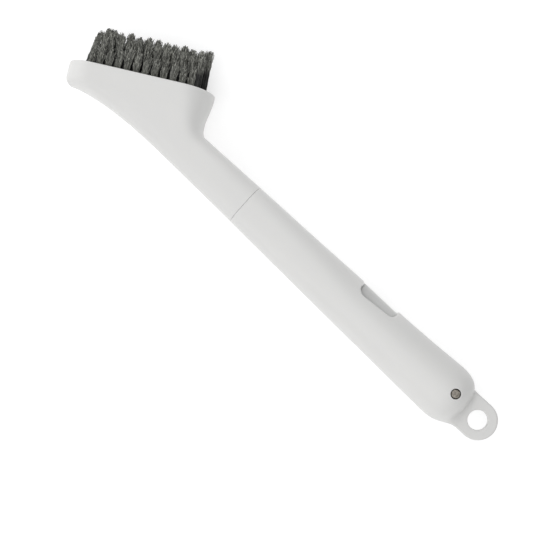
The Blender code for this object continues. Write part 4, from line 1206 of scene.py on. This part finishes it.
def bristleTree(finish):
    tree, size = newTree("bristleRow", {**tufts, "Tufts": 14, "Row place": 0.0, "Seed": 1})
    points, tuft, away, side, front = packTufts(tree, size, 1.0)
    # place of the tuft on the face
    first = times(tree, size["Tuft pitch"], -0.5)
    first = times(tree, minus(tree, size["Tufts"], 1.0), first)
    along = times(tree, tuft, size["Tuft pitch"])
    along = plus(tree, plus(tree, first, fieldMiddle), along)

    def trim(place, across):
        crown = times(tree, size["Crown"], times(tree, across, across))
        crown = minus(tree, size["Ridge"], crown)
        toe = minus(tree, place, size["Toe trim place"])
        toe = timesPlus(tree, toe, size["Toe trim slope"], size["Toe trim height"])
        return calc(tree, "MINIMUM", crown, toe)

    def slant(name):
        return calc(tree, "TANGENT", calc(tree, "RADIANS", size[name]))

    def fading(distance, name):
        share = minus(tree, 1.0, calc(tree, "DIVIDE", distance, size[name + " length"]))
        return times(tree, slant(name), calc(tree, "MAXIMUM", share, 0.0))

    def stray(draw):
        # a few filaments stand out, and each tuft leans a little its own way
        alone = times(tree, size["Stray"], cube(tree, chance(tree, size, -1.0, 1.0, draw)))
        return timesPlus(tree, chance(tree, size, -1.0, 1.0, draw + 20.0, tuft), size["Tuft lean"], alone)

    fromToe = minus(tree, along, fieldMiddle - fieldReach)
    fromHeel = minus(tree, fieldMiddle + fieldReach, along)
    leanAlong = minus(tree, fading(fromToe, "Toe lean"), fading(fromHeel, "Heel lean"))
    leanAcross = calc(tree, "DIVIDE", size["Row place"], 2 * brush["rowPitch"])
    leanAcross = times(tree, slant("Side lean"), leanAcross)
    height = trim(along, size["Row place"])
    fanAlong = timesPlus(tree, front, size["Tip spread"], stray(11.0))
    fanAcross = timesPlus(tree, side, size["Tip spread"], stray(12.0))
    rootAlong = timesPlus(tree, front, size["Root radius"], along)
    rootAcross = timesPlus(tree, side, size["Root radius"], size["Row place"])
    runAlong, runAcross = times(tree, leanAlong, height), times(tree, leanAcross, height)
    tipAlong = plus(tree, plus(tree, rootAlong, runAlong), fanAlong)
    tipAcross = plus(tree, plus(tree, rootAcross, runAcross), fanAcross)
    # each tuft ends in a low dome, and no two filaments at quite the same height
    dome = times(tree, size["Tuft dome"], calc(tree, "POWER", away, strand["domePower"]))
    tip = minus(tree, trim(tipAlong, tipAcross), dome)
    tip = minus(tree, tip, chance(tree, size, 0.0, size["Scatter"], 13.0))
    tip = minus(tree, tip, chance(tree, size, 0.0, size["Tuft scatter"], 14.0, tuft))
    grown = growStrands(
        tree, size, points, 15.0, strand["spreadPower"],
        root=vector(tree, rootAlong, times(tree, size["Root depth"], -1.0), rootAcross),
        rise=vector(tree, runAlong, plus(tree, tip, size["Root depth"]), runAcross),
        fan=vector(tree, fanAlong, 0.0, fanAcross))
    return plantStrands(tree, size, grown, finish, place(brush["toeU"], brush["toeV"], 0.0), brush["faceTilt"])


def makeBristleRows():
    tree = bristleTree(bristleNylon)
    names = {-2: "far_outer", -1: "far_inner", 0: "centre", 1: "near_inner", 2: "near_outer"}
    gap = brush["fit"] / 2
    for row, name in names.items():
        low = (row - 0.5) * brush["rowPitch"] + gap if row > -2 else -math.inf
        high = (row + 0.5) * brush["rowPitch"] - gap if row < 2 else math.inf
        outline = faceOval(brush["rimWall"] + brush["fit"], low, high, 24)
        beds = (-brush["recessDepth"] + brush["fit"], -bedRecess - bedChamfer, -bedRecess)
        rings = [[(*fromFace(along, out), across) for along, across in outline] for out in beds]
        strip = loft("bristleRow" + name.title().replace("_", ""), rings)
        strip.data.set_sharp_from_angle(angle=math.radians(bedEdge))
        sizes = {**tufts, "Tufts": centreTufts - abs(row), "Seed": 40 + row}
        sizes["Row place"] = row * brush["rowPitch"]
        if abs(row) == 2:
            sizes.update(outerTufts)
        runTree(strip, tree, sizes)
        dress(strip, None, "brush", "bristle_row_" + name)


def creviceTree(finish):
    tree, size = newTree("creviceTufts", creviceTufts)
    points, tuft, _, side, front = packTufts(tree, size, 2.0)
    # two staggered rows, tufts taken in turn from each
    station = timesPlus(tree, tuft, times(tree, size["Pitch"], 0.5), size["First"])
    offset = spread(tree, calc(tree, "MODULO", tuft, 2.0), 0.0, 1.0, -1.0, 1.0)
    offset = times(tree, size["Row offset"], offset)

    def fanned(place, draw):
        stray = times(tree, size["Stray"], cube(tree, chance(tree, size, -1.0, 1.0, draw)))
        return timesPlus(tree, place, size["Tip spread"], stray)

    def rooted(place, start):
        return timesPlus(tree, place, size["Root radius"], start)

    top = plus(tree, size["Root depth"], footV)
    length = minus(tree, size["Length"], chance(tree, size, 0.0, size["Scatter"], 3.0))
    drop = times(tree, plus(tree, length, size["Root depth"]), -1.0)
    grown = growStrands(
        tree, size, points, 4.0, strand["creviceSpreadPower"],
        root=vector(tree, rooted(front, station), top, rooted(side, offset)),
        rise=vector(tree, 0.0, drop, 0.0),
        fan=vector(tree, fanned(front, 1.0), 0.0, fanned(side, 2.0)))
    return plantStrands(tree, size, grown, finish, place(0, 0, 0))


def makeCreviceBristles():
    top = footV + arm["stripHeight"]
    strip = box("creviceBristles", (stripStart, footV), (stripEnd, top), arm["stripWidth"] / 2)
    strip.data.set_sharp_from_angle(angle=math.radians(bedEdge))
    runTree(strip, creviceTree(creviceNylon), creviceTufts)
    turnOutwards(strip)  # the rods point down here
    dress(strip, None, "crevice_brush", "crevice_bristles")


makeBristleRows()
makeCreviceBristles()


# Table, light and camera

studio = {
    "tableTone": (0.60, 0.60, 0.60), "tableDark": 0.985, "tableGlow": 0.545,
    "tableReach": 2.5, "tableDrop": 0.00005, "tableMottle": 6.0, "tableRough": 0.85, "tableShine": 0.2,
    "sky": 0.72, "skyTone": (0.98, 0.988, 1.0, 1.0),
    "lens": 400.0, "pixel": 0.3988, "sensor": 36.0, "picture": 533, "clipStart": 0.01, "aimU": 115.7,
    "yaw": math.radians(4.8), "pitch": math.radians(0.8), "roll": math.radians(42.43),
    "lampAway": 1.1, "lampSize": 0.8, "lampTone": (1.0, 0.995, 0.985),
    "sideLamps": {"leftLight": (135, 15, 2.5), "frontLight": (225, 50, 1.6)},  # turn, rise and power
    "topPower": 1.75, "topTone": (1.0, 0.998, 0.99),
    "flagTurn": -5.0, "flagAway": 0.42, "flagWide": 0.5, "flagHigh": 0.28, "flagFoot": 0.001,
    "flagDark": (0.008,) * 3, "flagTone": (0.014,) * 3, "flagWeave": 300.0, "flagRough": 0.95, "flagShine": 0.05,
}
up = Vector((0, 0, 1))


def stageFinish(piece, name, low, high, scale, rough, shine):
    # dull finish with a faint mottle
    finish, tree, shader = newFinish(name)
    where = objectPlace(tree)
    tree.links.new(tint(tree, noise(tree, where, scale), low, high), shader.inputs["Base Color"])
    setOn(shader, {"Roughness": rough, "Specular IOR Level": shine})
    piece.data.materials.append(finish)
    return shader


def makeTable():
    bm = bmesh.new()
    bmesh.ops.create_grid(bm, x_segments=1, y_segments=1, size=studio["tableReach"])
    bmesh.ops.translate(bm, verts=bm.verts, vec=(0.0, 0.0, -studio["tableDrop"]))
    table = makeObject("table", bm)
    for face in table.data.polygons:
        if face.normal.z < 0:
            table.data.flip_normals()
    low = tuple(c * studio["tableDark"] for c in studio["tableTone"])
    shader = stageFinish(table, "tablePaper", low, studio["tableTone"], studio["tableMottle"],
                         studio["tableRough"], studio["tableShine"])
    setOn(shader, {"Emission Color": (1.0, 1.0, 1.0, 1.0), "Emission Strength": studio["tableGlow"]})


def makeCamera():
    roll, yaw, pitch = studio["roll"], studio["yaw"], studio["pitch"]
    along, across = Vector((math.cos(roll), math.sin(roll), 0)), Vector((math.sin(roll), -math.cos(roll), 0))
    back = up * math.cos(yaw) * math.cos(pitch) + along * math.sin(yaw) * math.cos(pitch)
    back = -(back + across * math.sin(pitch))
    first = (along - back * along.dot(back)).normalized()
    turn = Matrix((first, back.cross(first).normalized(), back))
    right, down, into = (turn @ Vector(axis) for axis in ((1, 0, 0), (0, 1, 0), (0, 0, 1)))
    pose = Matrix((right, -down, -into)).transposed().to_4x4()
    pose.translation = place(studio["aimU"], 0, 0) + turn @ Vector((0, 0, -studio["lens"])) * mm
    camera = addObject("camera", bpy.data.cameras.new("camera"))
    camera.data.sensor_width = studio["sensor"]
    camera.data.lens = studio["lens"] / studio["pixel"] * studio["sensor"] / studio["picture"]
    camera.data.clip_start = studio["clipStart"]
    camera.matrix_world = pose
    bpy.context.scene.camera = camera
    return right, -down


def inPicture(turn):
    # direction along the table's plane of the picture, turned from its right side
    return pictureRight * math.cos(turn) + pictureUp * math.sin(turn)


def fromSide(turn, rise):
    # direction towards a lamp: turn seen in the picture from its right side, rise above the table
    rise = math.radians(rise)
    return inPicture(math.radians(turn)) * math.cos(rise) + up * math.sin(rise)


def addSoftbox(name, direction, power, tone):
    lamp = bpy.data.lights.new(name, "AREA")
    lamp.shape, lamp.size, lamp.energy, lamp.color = "DISK", studio["lampSize"], power, tone
    box = addObject(name, lamp)
    spot = direction.normalized() * studio["lampAway"]
    box.location = spot
    box.rotation_euler = (-spot).to_track_quat("-Z", "Y").to_euler()


def addFlag():
    # black card beside the brush, which gives its right edges their darker line
    wide, foot, high = studio["flagWide"] / 2, studio["flagFoot"], studio["flagHigh"]
    away = inPicture(math.radians(studio["flagTurn"]))
    away = Vector((away.x, away.y, 0.0)).normalized()
    beside = away.cross(up)
    bm = bmesh.new()
    bm.faces.new([bm.verts.new(away * studio["flagAway"] + beside * s + up * t)
                  for s, t in ((-wide, foot), (wide, foot), (wide, high), (-wide, high))])
    flag = makeObject("darkFlag", bm)
    stageFinish(flag, "flagCloth", studio["flagDark"], studio["flagTone"], studio["flagWeave"],
                studio["flagRough"], studio["flagShine"])


makeTable()
pictureRight, pictureUp = makeCamera()
addFlag()
for name, (turn, rise, power) in studio["sideLamps"].items():
    addSoftbox(name, fromSide(turn, rise), power, studio["lampTone"])
addSoftbox("topLight", up, studio["topPower"], studio["topTone"])
world = bpy.data.worlds.new("studio")
world.use_nodes = True
setOn(world.node_tree.nodes["Background"], {"Color": studio["skyTone"], "Strength": studio["sky"]})
bpy.context.scene.world = world
bpy.context.scene.view_settings.view_transform = "Standard"
print("stage set")
